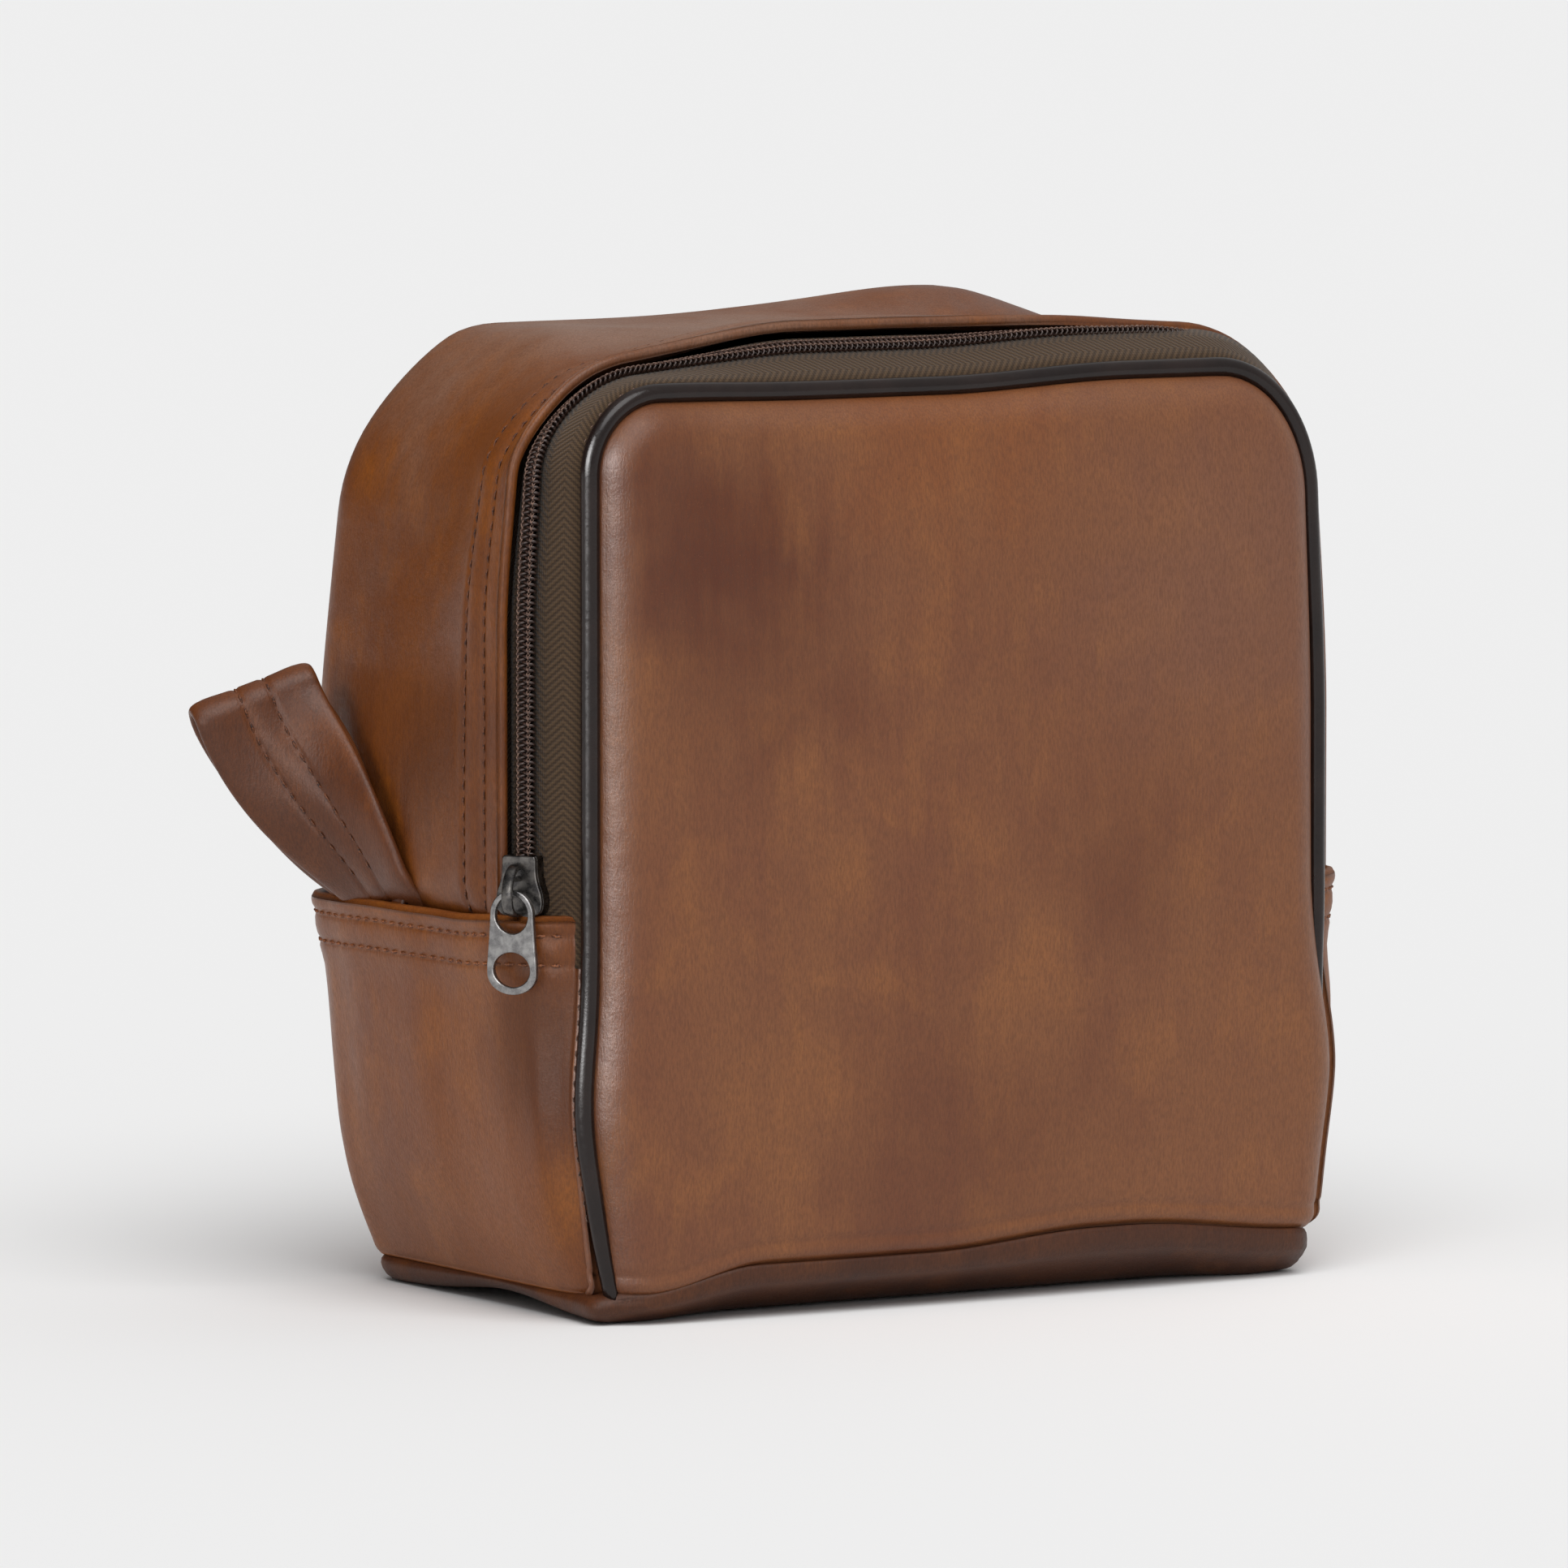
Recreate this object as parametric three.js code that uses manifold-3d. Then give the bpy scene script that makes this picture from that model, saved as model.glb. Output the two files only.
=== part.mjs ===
// Shaving kit bag: a box-shaped leather bag with a front flap that a zip closes round three sides.
// Millimetres, +Z up, the front faces -Y, +X is to the right seen from the front.
// The origin is the middle of the base, on the surface that the bag stands on.
import * as THREE from 'three';
import { mergeVertices } from 'three/addons/utils/BufferGeometryUtils.js';
import Module from 'manifold-3d';

const wasm = await Module();
wasm.setup();

// ---- Driving dimensions ----
const GAP = 0.3;                 // clearance between faces that touch on the real bag
const LEATHER = 1.6;             // gusset and panels
const SKIRT_LEATHER = 1.8;
const LINING = 0.8;

const BODY_HALF_WIDTH = 100.6;
const BODY_HEIGHT = 200.8;
const BODY_CORNER = 28.5;        // radius of the two top corners
const BACK_ROLL = 14;            // radius where the gusset turns onto the back
const BACK_ROLL_CENTRE_Y = 35;
const BACK_CROWN = 3.5;
const GUSSET_FRONT_Y = -31.4;
const GUSSET_LOW_Z = 67;         // the lower end is hidden behind the skirt

const ZIP_HALF_WIDTH = 95.4;     // middle of the zip, at the sides
const ZIP_HEIGHT = 196;          // middle of the zip, over the top
const ZIP_CORNER = 23.5;
const ZIP_Y = -36.2;
const ZIP_TURN = THREE.MathUtils.degToRad(30.3);   // the zip faces outward, turned this far to the front
const TAPE = 0.7;
const CHAIN_HALF_WIDTH = 2.9;
const CHAIN_LOW = 0.3;
const CHAIN_HIGH = 2.4;
const CHAIN_SPLIT = 0.2;         // each half of the chain stays this far from the middle
const TAPE_EDGE = 1.3;           // each tape's edge under the chain

const PIPING_RADIUS = 2;
const PIPING_ACROSS = -14.1;     // the piping's place across and above the zip
const PIPING_ABOVE = -0.8;
const FOLD_Z = 82;               // the flap folds forward here, and the zip ends here
const FOLD_Y = -59;

const SKIRT_TOP_Z = 81.5;
const SKIRT_TOP_HALF_WIDTH = 103.2;
const SKIRT_FULL_Z = 72;         // above this height the skirt has its full width
const SEAM_Z = 6;                // seam between skirt and base
const SEAM_HALF_WIDTH = 87.4;
const SEAM_BACK_Y = 47.6;
const SEAM_RISE = 8;             // the front seam arches up by this much in the middle

const PANEL_INSET = 2.4;         // front panel's edge inside the piping's middle line
const PANEL_EDGE_Y = -46.8;
const PANEL_ROLL = 6;
const PANEL_CROWN = 6;

const BASE_HALF_WIDTH = 84;
const BASE_FRONT_Y = -47;
const BASE_BACK_Y = 46;
const BASE_CORNER = 9;
const BOARD_THICK = 1.5;

const STRAP_WIDTH = 27;
const STRAP_THICK = 2.2;
const STRAP_Y = 13;
const STRAP_SPREAD = 6.3;        // half the distance between the loop's two runs
const STRAP_BUMP = 1.2;          // room made for the strap's sewn end, each way

const SLIDER_LOW_Z = 83;
const SLIDER_LENGTH = 12.6;
const SLIDER_SHOULDER = 5.1;     // half-width at the nose
const SLIDER_TAIL = 4.1;
const TAB_AXIS_Z = 88;
const TAB_AXIS_ABOVE = 6.2;
const TAB_LENGTH = 21.4;
const TAB_THICK = 1.2;

const INSIDE = new THREE.Vector3(0, 0, 95);

// ---- Small maths ----
const V = (x, y, z) => new THREE.Vector3(x, y, z);
const mix = (a, b, t) => a + (b - a) * t;
const clamp01 = (t) => Math.min(1, Math.max(0, t));
const smooth = (t) => {
  const s = clamp01(t);
  return s * s * (3 - 2 * s);
};
const steps = (count) => Array.from({ length: count + 1 }, (_, i) => i / count);

// ---- Closed solids ----
function closedGeometry(points, triangles) {
  let volume = 0;
  for (const [a, b, c] of triangles) {
    volume += points[a].dot(points[b].clone().cross(points[c]));
  }
  const order = volume < 0 ? ([a, b, c]) => [a, c, b] : (t) => t;
  const geometry = new THREE.BufferGeometry();
  geometry.setAttribute('position', new THREE.Float32BufferAttribute(points.flatMap((p) => p.toArray()), 3));
  geometry.setIndex(triangles.flatMap(order));
  geometry.computeVertexNormals();
  return geometry;
}

// A ring-by-ring skin, where each ring has the same number of points, with both end rings filled.
// A round end is filled from its middle, and the end of a bent strip by rungs from side to side.
function loft(rings, bentStrip = false) {
  const count = rings[0].length;
  const points = rings.flat();
  const triangles = [];
  for (let r = 0; r + 1 < rings.length; r++) {
    for (let i = 0; i < count; i++) {
      const j = (i + 1) % count;
      const [a, b, c, d] = [r * count + i, r * count + j, (r + 1) * count + j, (r + 1) * count + i];
      triangles.push([a, b, c], [a, c, d]);
    }
  }
  const last = (rings.length - 1) * count;
  const fromMiddle = (ring, start) => {
    points.push(ring.reduce((sum, p) => sum.add(p), V(0, 0, 0)).multiplyScalar(1 / count));
    return ring.map((_, i) => [points.length - 1, start + i, start + (i + 1) % count]);
  };
  const byRungs = (ring, start) => {
    const rungs = [];
    for (let i = 0; i + 1 < count - 1 - i; i++) {
      const [a, b, c, d] = [i, i + 1, count - 2 - i, count - 1 - i].map((k) => start + k);
      rungs.push([a, b, d]);
      if (b < c) {
        rungs.push([b, c, d]);
      }
    }
    return rungs;
  };
  const fill = bentStrip ? byRungs : fromMiddle;
  triangles.push(...fill(rings[0], 0).map(([a, b, c]) => [a, c, b]), ...fill(rings[rings.length - 1], last));
  return closedGeometry(points, triangles);
}

// A sheet of even thickness. The grid holds the face that looks away from the inside of the bag.
function sheet(grid, thickness) {
  const [rows, columns] = [grid.length, grid[0].length];
  const inner = grid.map((row, i) => row.map((p, j) => {
    const alongRow = row[Math.min(j + 1, columns - 1)].clone().sub(row[Math.max(j - 1, 0)]);
    const alongColumn = grid[Math.min(i + 1, rows - 1)][j].clone().sub(grid[Math.max(i - 1, 0)][j]);
    const normal = alongRow.cross(alongColumn).normalize();
    const outward = normal.dot(p.clone().sub(INSIDE)) < 0 ? -1 : 1;
    return p.clone().addScaledVector(normal, -outward * thickness);
  }));
  return sheetBetween(grid, inner);
}

function sheetBetween(outer, inner) {
  const [rows, columns] = [outer.length, outer[0].length];
  const points = [...outer.flat(), ...inner.flat()];
  const at = (side, i, j) => side * rows * columns + i * columns + j;
  const triangles = [];
  const quad = (a, b, c, d) => triangles.push([a, b, c], [a, c, d]);
  for (let i = 0; i + 1 < rows; i++) {
    for (let j = 0; j + 1 < columns; j++) {
      quad(at(0, i, j), at(0, i, j + 1), at(0, i + 1, j + 1), at(0, i + 1, j));
      quad(at(1, i, j), at(1, i + 1, j), at(1, i + 1, j + 1), at(1, i, j + 1));
    }
  }
  for (let j = 0; j + 1 < columns; j++) {
    quad(at(0, 0, j), at(1, 0, j), at(1, 0, j + 1), at(0, 0, j + 1));
    quad(at(0, rows - 1, j), at(0, rows - 1, j + 1), at(1, rows - 1, j + 1), at(1, rows - 1, j));
  }
  for (let i = 0; i + 1 < rows; i++) {
    quad(at(0, i, 0), at(0, i + 1, 0), at(1, i + 1, 0), at(1, i, 0));
    quad(at(0, i, columns - 1), at(1, i, columns - 1), at(1, i + 1, columns - 1), at(0, i + 1, columns - 1));
  }
  return closedGeometry(points, triangles);
}

function tube(points, radius, sides) {
  const path = new THREE.CatmullRomCurve3(points, false, 'centripetal');
  const section = new THREE.Shape();
  section.absarc(0, 0, radius, 0, 2 * Math.PI, false);
  return new THREE.ExtrudeGeometry(section, {
    extrudePath: path, steps: points.length * 2, curveSegments: sides, bevelEnabled: false,
  });
}

function toSolid(geometry) {
  const bare = geometry.clone();
  bare.deleteAttribute('normal');
  bare.deleteAttribute('uv');
  const merged = mergeVertices(bare, 1e-4);
  return new wasm.Manifold(new wasm.Mesh({
    numProp: 3,
    vertProperties: new Float32Array(merged.attributes.position.array),
    triVerts: new Uint32Array(merged.index.array),
  }));
}

function fromSolid(solid) {
  const mesh = solid.getMesh();
  const geometry = new THREE.BufferGeometry();
  geometry.setAttribute('position', new THREE.Float32BufferAttribute(mesh.vertProperties, 3));
  geometry.setIndex(Array.from(mesh.triVerts));
  geometry.computeVertexNormals();
  return geometry;
}

const join = (first, ...others) => fromSolid(others.reduce((a, g) => a.add(toSolid(g)), toSolid(first)));
const cut = (first, ...others) => fromSolid(others.reduce((a, g) => a.subtract(toSolid(g)), toSolid(first)));

// ---- Materials ----
const material = (color, roughness, metalness = 0) => new THREE.MeshStandardMaterial({ color, roughness, metalness });
const leatherBrown = material(0x7a4526, 0.5);
const pipingBrown = material(0x2c1f1b, 0.4);
const tapeOlive = material(0x5a4632, 0.9);
const coilBrown = material(0x3a2822, 0.45);
const gunmetal = material(0x3f3f42, 0.35, 1);
const brushedGrey = material(0x77757a, 0.4, 1);
const liningBrown = material(0x4a3a2c, 0.95);
const boardGrey = material(0x6e675c, 0.9);

const root = new THREE.Group();
const flap = new THREE.Group();
const slider = new THREE.Group();
root.add(flap, slider);

function add(parent, name, geometry, finish) {
  const mesh = new THREE.Mesh(geometry, finish);
  mesh.name = name;
  parent.add(mesh);
  return mesh;
}

// ---- The arch: up the left side, over the top and down the right side ----
// Each station has its place on the arch and the direction that points out of the bag there.
function arch(halfWidth, height, corner, sideHeights, cornerSteps, topSteps) {
  const stations = [];
  const put = (x, z, outX, outZ) => stations.push({ x, z, outX, outZ });
  for (const z of [...sideHeights, height - corner]) {
    put(-halfWidth, z, -1, 0);
  }
  for (const t of steps(cornerSteps).slice(1)) {
    const angle = Math.PI - t * Math.PI / 2;
    const [c, s] = [Math.cos(angle), Math.sin(angle)];
    put(-halfWidth + corner + corner * c, height - corner + corner * s, c, s);
  }
  for (const t of steps(topSteps).slice(1, -1)) {
    put(mix(-halfWidth + corner, halfWidth - corner, t), height, 0, 1);
  }
  const mirrored = stations.slice(0, sideHeights.length + 1 + cornerSteps).reverse();
  return [...stations, ...mirrored.map((s) => ({ ...s, x: -s.x, outX: -s.outX }))];
}

// ---- Zip: tapes, coil halves and the piping beside them share one line and one cross-section frame ----
const ACROSS = { out: Math.sin(ZIP_TURN), y: Math.cos(ZIP_TURN) };    // from the piping towards the back
const ABOVE = { out: Math.cos(ZIP_TURN), y: -Math.sin(ZIP_TURN) };    // away from the bag

function zipPoint(station, across, above) {
  const out = across * ACROSS.out + above * ABOVE.out;
  return V(station.x + out * station.outX, ZIP_Y + across * ACROSS.y + above * ABOVE.y, station.z + out * station.outZ);
}

function zipStrip(section, lowZ) {
  const stations = arch(ZIP_HALF_WIDTH, ZIP_HEIGHT, ZIP_CORNER, [lowZ, 115, 145], 5, 5);
  return loft(stations.map((s) => section.map(([across, above]) => zipPoint(s, across, above))), true);
}

const coilSection = (side) => [
  [CHAIN_SPLIT, CHAIN_LOW],
  [CHAIN_HALF_WIDTH - 0.4, CHAIN_LOW],
  [CHAIN_HALF_WIDTH, (CHAIN_LOW + CHAIN_HIGH) / 2],
  [CHAIN_HALF_WIDTH - 0.9, CHAIN_HIGH],
  [CHAIN_SPLIT, CHAIN_HIGH],
].map(([across, above]) => [side * across, above]);

const TAPE_TURN = 4.4;           // behind here the rear tape runs along the inside of the gusset
const TAPE_HIDDEN = 8;
const rearTapeSection = () => {
  const outer = BODY_HALF_WIDTH - LEATHER - GAP - 0.3 - ZIP_HALF_WIDTH;   // out from the zip's middle
  const place = (out, y) => [out * ACROSS.out + y * ACROSS.y, out * ABOVE.out + y * ABOVE.y];
  const turnY = TAPE_TURN * ACROSS.y;
  return [
    [TAPE_EDGE, 0],
    [TAPE_TURN, 0],
    place(outer, turnY + 1.5),
    place(outer, turnY + TAPE_HIDDEN),
    place(outer - TAPE, turnY + TAPE_HIDDEN),
    place(outer - TAPE, turnY + 1.7),
    [TAPE_TURN + 0.1, -TAPE],
    [TAPE_EDGE, -TAPE],
  ];
};
const frontTapeEdge = PIPING_ACROSS + PIPING_RADIUS + GAP;
const frontTapeSection = [[-TAPE_EDGE, 0], [-TAPE_EDGE, -TAPE], [frontTapeEdge, -TAPE], [frontTapeEdge, 0]];
const CHAIN_END_Z = SLIDER_LOW_Z + 3.4;

add(flap, 'zip_tape_front', zipStrip(frontTapeSection, FOLD_Z + GAP), tapeOlive);
add(flap, 'zip_coil_front', zipStrip(coilSection(-1), CHAIN_END_Z), coilBrown);
add(root, 'zip_tape_rear', zipStrip(rearTapeSection(), GUSSET_LOW_Z + 4), tapeOlive);
add(root, 'zip_coil_rear', zipStrip(coilSection(1), CHAIN_END_Z), coilBrown);

// ---- Piping: a welt round the front panel ----
const PIPING_IN = -(PIPING_ACROSS * ACROSS.out + PIPING_ABOVE * ABOVE.out);
const PIPING_Y = ZIP_Y + PIPING_ACROSS * ACROSS.y + PIPING_ABOVE * ABOVE.y;
const PIPING_HALF_WIDTH = ZIP_HALF_WIDTH - PIPING_IN;
const PIPING_HEIGHT = ZIP_HEIGHT - PIPING_IN;
const PIPING_CORNER = ZIP_CORNER - PIPING_IN;

const FOOT_Z = 45;               // below this height the piping turns in towards the base
const FOOT_TUCK = 7.5;
const HIP_BULGE = 1.6;
const foot = (z) => (1 - clamp01(z / FOOT_Z)) ** 2;
const pipingX = (z) => PIPING_HALF_WIDTH + HIP_BULGE * Math.exp(-(((z - FOOT_Z) / 16) ** 2)) - FOOT_TUCK * foot(z);
const pipingY = (z) => PIPING_Y + 2 * foot(z);

const upperPiping = arch(PIPING_HALF_WIDTH, PIPING_HEIGHT, PIPING_CORNER, [FOLD_Z + GAP, 115, 145], 4, 3);
add(flap, 'piping_flap', loft(upperPiping.map((s) => steps(8).slice(1).map((t) => {
  const angle = t * 2 * Math.PI;
  const out = PIPING_RADIUS * Math.cos(angle);
  return V(s.x + out * s.outX, PIPING_Y + PIPING_RADIUS * Math.sin(angle), s.z + out * s.outZ);
}))), pipingBrown);
for (const [name, side] of [['left', -1], ['right', 1]]) {
  const points = steps(7).map((t) => mix(FOLD_Z - GAP, SEAM_Z + 3, t)).map((z) => V(side * pipingX(z), pipingY(z), z));
  add(root, `piping_lower_${name}`, tube(points, PIPING_RADIUS, 4), pipingBrown);
}

// ---- Gusset: left side, top and right side in one piece ----
const strapBump = (y, z) => STRAP_BUMP * Math.exp(-(((y - STRAP_Y) / 18) ** 6)) * smooth((92 - z) / 10);
const ROLL_END = THREE.MathUtils.degToRad(75);
const GUSSET_ROWS = [GUSSET_LOW_Z, 82, 86, 92, 132];
const gussetDepths = [
  { y: GUSSET_FRONT_Y, inset: 0.2 },
  { y: -20, inset: 0 },
  ...[-6, 2, 24, 32].map((y) => ({ y, inset: 0 })),
  ...steps(4).map((t) => ({
    y: BACK_ROLL_CENTRE_Y + BACK_ROLL * Math.sin(t * ROLL_END),
    inset: BACK_ROLL * (1 - Math.cos(t * ROLL_END)),
  })),
];
const gussetGrid = gussetDepths.map(({ y, inset }) => (
  arch(BODY_HALF_WIDTH - inset, BODY_HEIGHT - inset, BODY_CORNER - inset, GUSSET_ROWS, 5, 4).map((s) => (
    V(s.x + (s.x < 0 ? strapBump(y, s.z) : 0), y, s.z)
  ))
));
add(root, 'upper_gusset', sheet(gussetGrid, LEATHER), leatherBrown);

// ---- Panels: a grid inside an arch outline, whose depth depends on the distance from the outline ----
function outlineWidth(halfWidth, height, corner, z) {
  const over = Math.max(0, z - (height - corner));
  return halfWidth - corner + Math.sqrt(Math.max(0, corner * corner - over * over));
}

function outlineDistance(halfWidth, height, corner, x, z) {
  const dx = Math.abs(x) - (halfWidth - corner);
  const dz = z - (height - corner);
  return corner - Math.hypot(Math.max(dx, 0), Math.max(dz, 0)) - Math.min(Math.max(dx, dz), 0);
}

const rollDepth = (radius, distance) => {
  const rest = radius - Math.min(radius, Math.max(0, distance));
  return Math.sqrt(radius * radius - rest * rest);
};
const panelColumns = [0, 0.03, 0.08, 0.22, 0.5];
const columnShares = [...panelColumns, ...panelColumns.slice(0, -1).reverse().map((s) => 1 - s)].map((s) => 2 * s - 1);

const PANEL_HEIGHT = PIPING_HEIGHT - PANEL_INSET;
const PANEL_CORNER = PIPING_CORNER - PANEL_INSET;
const panelHalfWidth = (z) => pipingX(z) - PANEL_INSET;
const seamZ = (x) => SEAM_Z + SEAM_RISE * (1 - Math.min(1, Math.abs(x) / SEAM_HALF_WIDTH) ** 2.5);

function frontY(x, z) {
  const halfWidth = panelHalfWidth(z);
  const edge = outlineDistance(halfWidth, PANEL_HEIGHT, PANEL_CORNER, x, z);
  const crown = PANEL_CROWN * (1 - (x / halfWidth) ** 2) * (1 - ((z - FOLD_Z) / 112) ** 2);
  return pipingY(z) - PIPING_Y + PANEL_EDGE_Y - rollDepth(PANEL_ROLL, edge) - Math.max(0, crown);
}

const upperRows = [FOLD_Z + GAP, 105, 130, 152, 168, 176, 181, 184.5, PANEL_HEIGHT];
const upperPanel = upperRows.map((z) => columnShares.map((share) => {
  const x = share * outlineWidth(panelHalfWidth(z), PANEL_HEIGHT, PANEL_CORNER, z);
  return V(x, frontY(x, z), z);
}));
add(flap, 'front_panel_upper', sheet(upperPanel, LEATHER), leatherBrown);

const lowerPanel = steps(6).map((t) => columnShares.map((share) => {
  const low = seamZ(share * (SEAM_HALF_WIDTH - 4)) + 0.6;
  const z = mix(low, FOLD_Z - GAP, t);
  const x = share * panelHalfWidth(z);
  return V(x, frontY(x, z), z);
}));
add(root, 'front_panel_lower', sheet(lowerPanel, LEATHER), leatherBrown);

// Lining sheets lie behind the front panels.
const LINING_BACK = LEATHER + 1.4;
const liningInset = 7;
function liningSheet(rows) {
  return rows.map(({ z }) => columnShares.map((share) => {
    const x = share * (outlineWidth(panelHalfWidth(z), PANEL_HEIGHT, PANEL_CORNER, z) - liningInset);
    return V(x, frontY(x, z) + LINING_BACK, z);
  }));
}
add(flap, 'lining_flap', sheet(liningSheet([83, 110, 140, 162, 174, 179].map((z) => ({ z }))), LINING), liningBrown);
add(root, 'lining_front_lower', sheet(liningSheet([20, 35, 50, 65, 81].map((z) => ({ z }))), LINING), liningBrown);

// ---- Back panel ----
const BACK_INSET = BACK_ROLL * (1 - Math.cos(ROLL_END)) + 1.1;
const BACK_EDGE_Y = BACK_ROLL_CENTRE_Y + BACK_ROLL * Math.sin(ROLL_END) + 0.2;
const BACK_HALF_WIDTH = BODY_HALF_WIDTH - BACK_INSET;
const BACK_HEIGHT = BODY_HEIGHT - BACK_INSET;
const BACK_CORNER = BODY_CORNER - BACK_INSET;
const backCrown = (x) => BACK_CROWN * (1 - Math.min(1, Math.abs(x) / BACK_HALF_WIDTH) ** 2);
function backY(x, z) {
  const edge = outlineDistance(BACK_HALF_WIDTH, BACK_HEIGHT, BACK_CORNER, x, z);
  return BACK_EDGE_Y + 0.5 * smooth(edge / 5) + backCrown(x) * smooth((BACK_HEIGHT - z) / 60);
}
const backRows = [GUSSET_LOW_Z, 95, 130, 155, 172, 180, 186, BACK_HEIGHT];
add(root, 'back_panel', sheet(backRows.map((z) => columnShares.map((share) => {
  const x = share * outlineWidth(BACK_HALF_WIDTH, BACK_HEIGHT, BACK_CORNER, z);
  return V(x, backY(x, z), z);
})), LEATHER), leatherBrown);

// ---- Skirt: the lower wall, from the piping round the back to the piping ----
const skirtFullness = (z) => 1 - (1 - clamp01((z - SEAM_Z) / (SKIRT_FULL_Z - SEAM_Z))) ** 2;
const SKIRT_ROLL = BACK_ROLL + 2.6;
function skirtHalf(z) {
  const full = skirtFullness(z);
  const halfWidth = mix(SEAM_HALF_WIDTH, SKIRT_TOP_HALF_WIDTH, full);
  const cornerY = mix(SEAM_BACK_Y - 9, BACK_ROLL_CENTRE_Y, full);
  const corner = mix(9, SKIRT_ROLL, full);
  const front = new THREE.CubicBezierCurve(
    new THREE.Vector2(pipingX(z) + 1.9, pipingY(z) + 1.9),
    new THREE.Vector2(mix(pipingX(z) + 4, 95, full), mix(-43, -43.8, full)),
    new THREE.Vector2(halfWidth - 0.3, -37.5),
    new THREE.Vector2(halfWidth, -28),
  );
  const points = front.getPoints(5).map((p) => [p.x, p.y]);
  points.push(...[-14, -6, 2, 24, 32].filter((y) => y < cornerY - 1).map((y) => [halfWidth, y]));
  for (const t of steps(4)) {
    const angle = t * Math.PI / 2;
    points.push([halfWidth - corner + corner * Math.cos(angle), cornerY + corner * Math.sin(angle)]);
  }
  const back = cornerY + corner;
  for (const share of [0.66, 0.33, 0]) {
    points.push([share * (halfWidth - corner), back + BACK_CROWN * full * (1 - share * share)]);
  }
  return points;
}
function skirtRow(z) {
  const half = skirtHalf(z);
  const left = half.map(([x, y]) => V(-x - strapBump(y, z) * skirtFullness(z), y, z));
  const right = half.slice(0, -1).reverse().map(([x, y]) => V(x, y, z));
  return [...left, ...right];
}
const skirtRows = [SEAM_Z + 0.4, 13, 22, 34, 48, 64, 73, SKIRT_TOP_Z];
add(root, 'lower_skirt', sheet(skirtRows.map(skirtRow), SKIRT_LEATHER), leatherBrown);

// ---- Base: a shallow tray and the stiff board in it ----
function baseRing(halfWidth, front, back, corner, z, arched) {
  const points = [];
  const corners = [[1, back, 0], [-1, back, 1], [-1, front, 2], [1, front, 3]];
  for (const [sideX, edgeY, quarter] of corners) {
    const centreX = sideX * (halfWidth - corner);
    const centreY = edgeY - Math.sign(edgeY) * corner;
    for (const t of steps(3)) {
      const angle = (quarter + t) * Math.PI / 2;
      points.push(V(centreX + corner * Math.cos(angle), centreY + corner * Math.sin(angle), z));
    }
    if (quarter === 2) {
      for (const share of [-0.6, -0.3, 0, 0.3, 0.6]) {
        const x = share * halfWidth;
        points.push(V(x, front - arched * 0.65 * (seamZ(x) - SEAM_Z), z + arched * (seamZ(x) - SEAM_Z)));
      }
    }
  }
  return points;
}
const tray = [
  baseRing(BASE_HALF_WIDTH - 4, BASE_FRONT_Y + 4, BASE_BACK_Y - 4, BASE_CORNER - 3, 0, 0),
  baseRing(BASE_HALF_WIDTH, BASE_FRONT_Y, BASE_BACK_Y, BASE_CORNER, 0.9, 0.1),
  baseRing(BASE_HALF_WIDTH + 1.5, BASE_FRONT_Y - 1, BASE_BACK_Y + 0.8, BASE_CORNER, 3, 0.5),
  baseRing(BASE_HALF_WIDTH + 2, BASE_FRONT_Y - 1.6, BASE_BACK_Y + 1, BASE_CORNER, SEAM_Z - GAP, 1),
  baseRing(BASE_HALF_WIDTH + 0.4, BASE_FRONT_Y, BASE_BACK_Y - 0.6, BASE_CORNER - 1.6, SEAM_Z - GAP, 1),
  baseRing(BASE_HALF_WIDTH - 0.1, BASE_FRONT_Y + 0.6, BASE_BACK_Y - 0.9, BASE_CORNER - 1.6, 3, 0.5),
  baseRing(BASE_HALF_WIDTH - 4, BASE_FRONT_Y + 4, BASE_BACK_Y - 4, BASE_CORNER - 3, LEATHER, 0),
];
add(root, 'base_panel', loft(tray), leatherBrown);

const boardRing = (z) => baseRing(BASE_HALF_WIDTH - 5, BASE_FRONT_Y + 5, BASE_BACK_Y - 5, 5, z, 0);
const boardLow = LEATHER + GAP;
add(root, 'base_board', loft([boardRing(boardLow), boardRing(boardLow + BOARD_THICK)]), boardGrey);

// ---- Body lining: a cup that opens to the front ----
const LINING_LOW_Z = boardLow + BOARD_THICK + 0.4;
const LINING_FRONT_Y = -28.5;
const LINING_BACK_Y = 44;
const LINING_ROLL = 11;
const LINING_ROOM = 7;           // how far the lining stays inside the skirt's outer face
const liningHalf = (z) => mix(SEAM_HALF_WIDTH, SKIRT_TOP_HALF_WIDTH, skirtFullness(z)) - LINING_ROOM;
function liningRing(inset, y) {
  const upper = arch(liningHalf(BODY_HEIGHT) - inset, BODY_HEIGHT - 4.4 - inset, BODY_CORNER - 4 - inset * 0.6, [FOLD_Z, 125], 4, 3);
  const lowerZ = [60, 40, 25, 14, 8];
  const right = lowerZ.map((z) => V(liningHalf(z) - inset, y, z + inset * (1 - z / 100)));
  const floor = [0.85, 0.3, -0.3, -0.85].map((share) => V(share * (liningHalf(5) - inset), y, LINING_LOW_Z + inset));
  const left = [...right].reverse().map((p) => V(-p.x, y, p.z));
  return [...upper.map((s) => V(s.x, y, s.z)), ...right, ...floor, ...left];
}
const liningShape = [
  [0, LINING_FRONT_Y],
  [0, 0],
  [0, LINING_BACK_Y - LINING_ROLL],
  [LINING_ROLL * 0.3, LINING_BACK_Y - LINING_ROLL * 0.3],
  [LINING_ROLL, LINING_BACK_Y],
];
const cupOutside = liningShape.map(([inset, y]) => liningRing(inset, y));
const cupInside = liningShape.map(([inset, y]) => liningRing(inset + LINING, Math.min(y, LINING_BACK_Y - LINING)));
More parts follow.
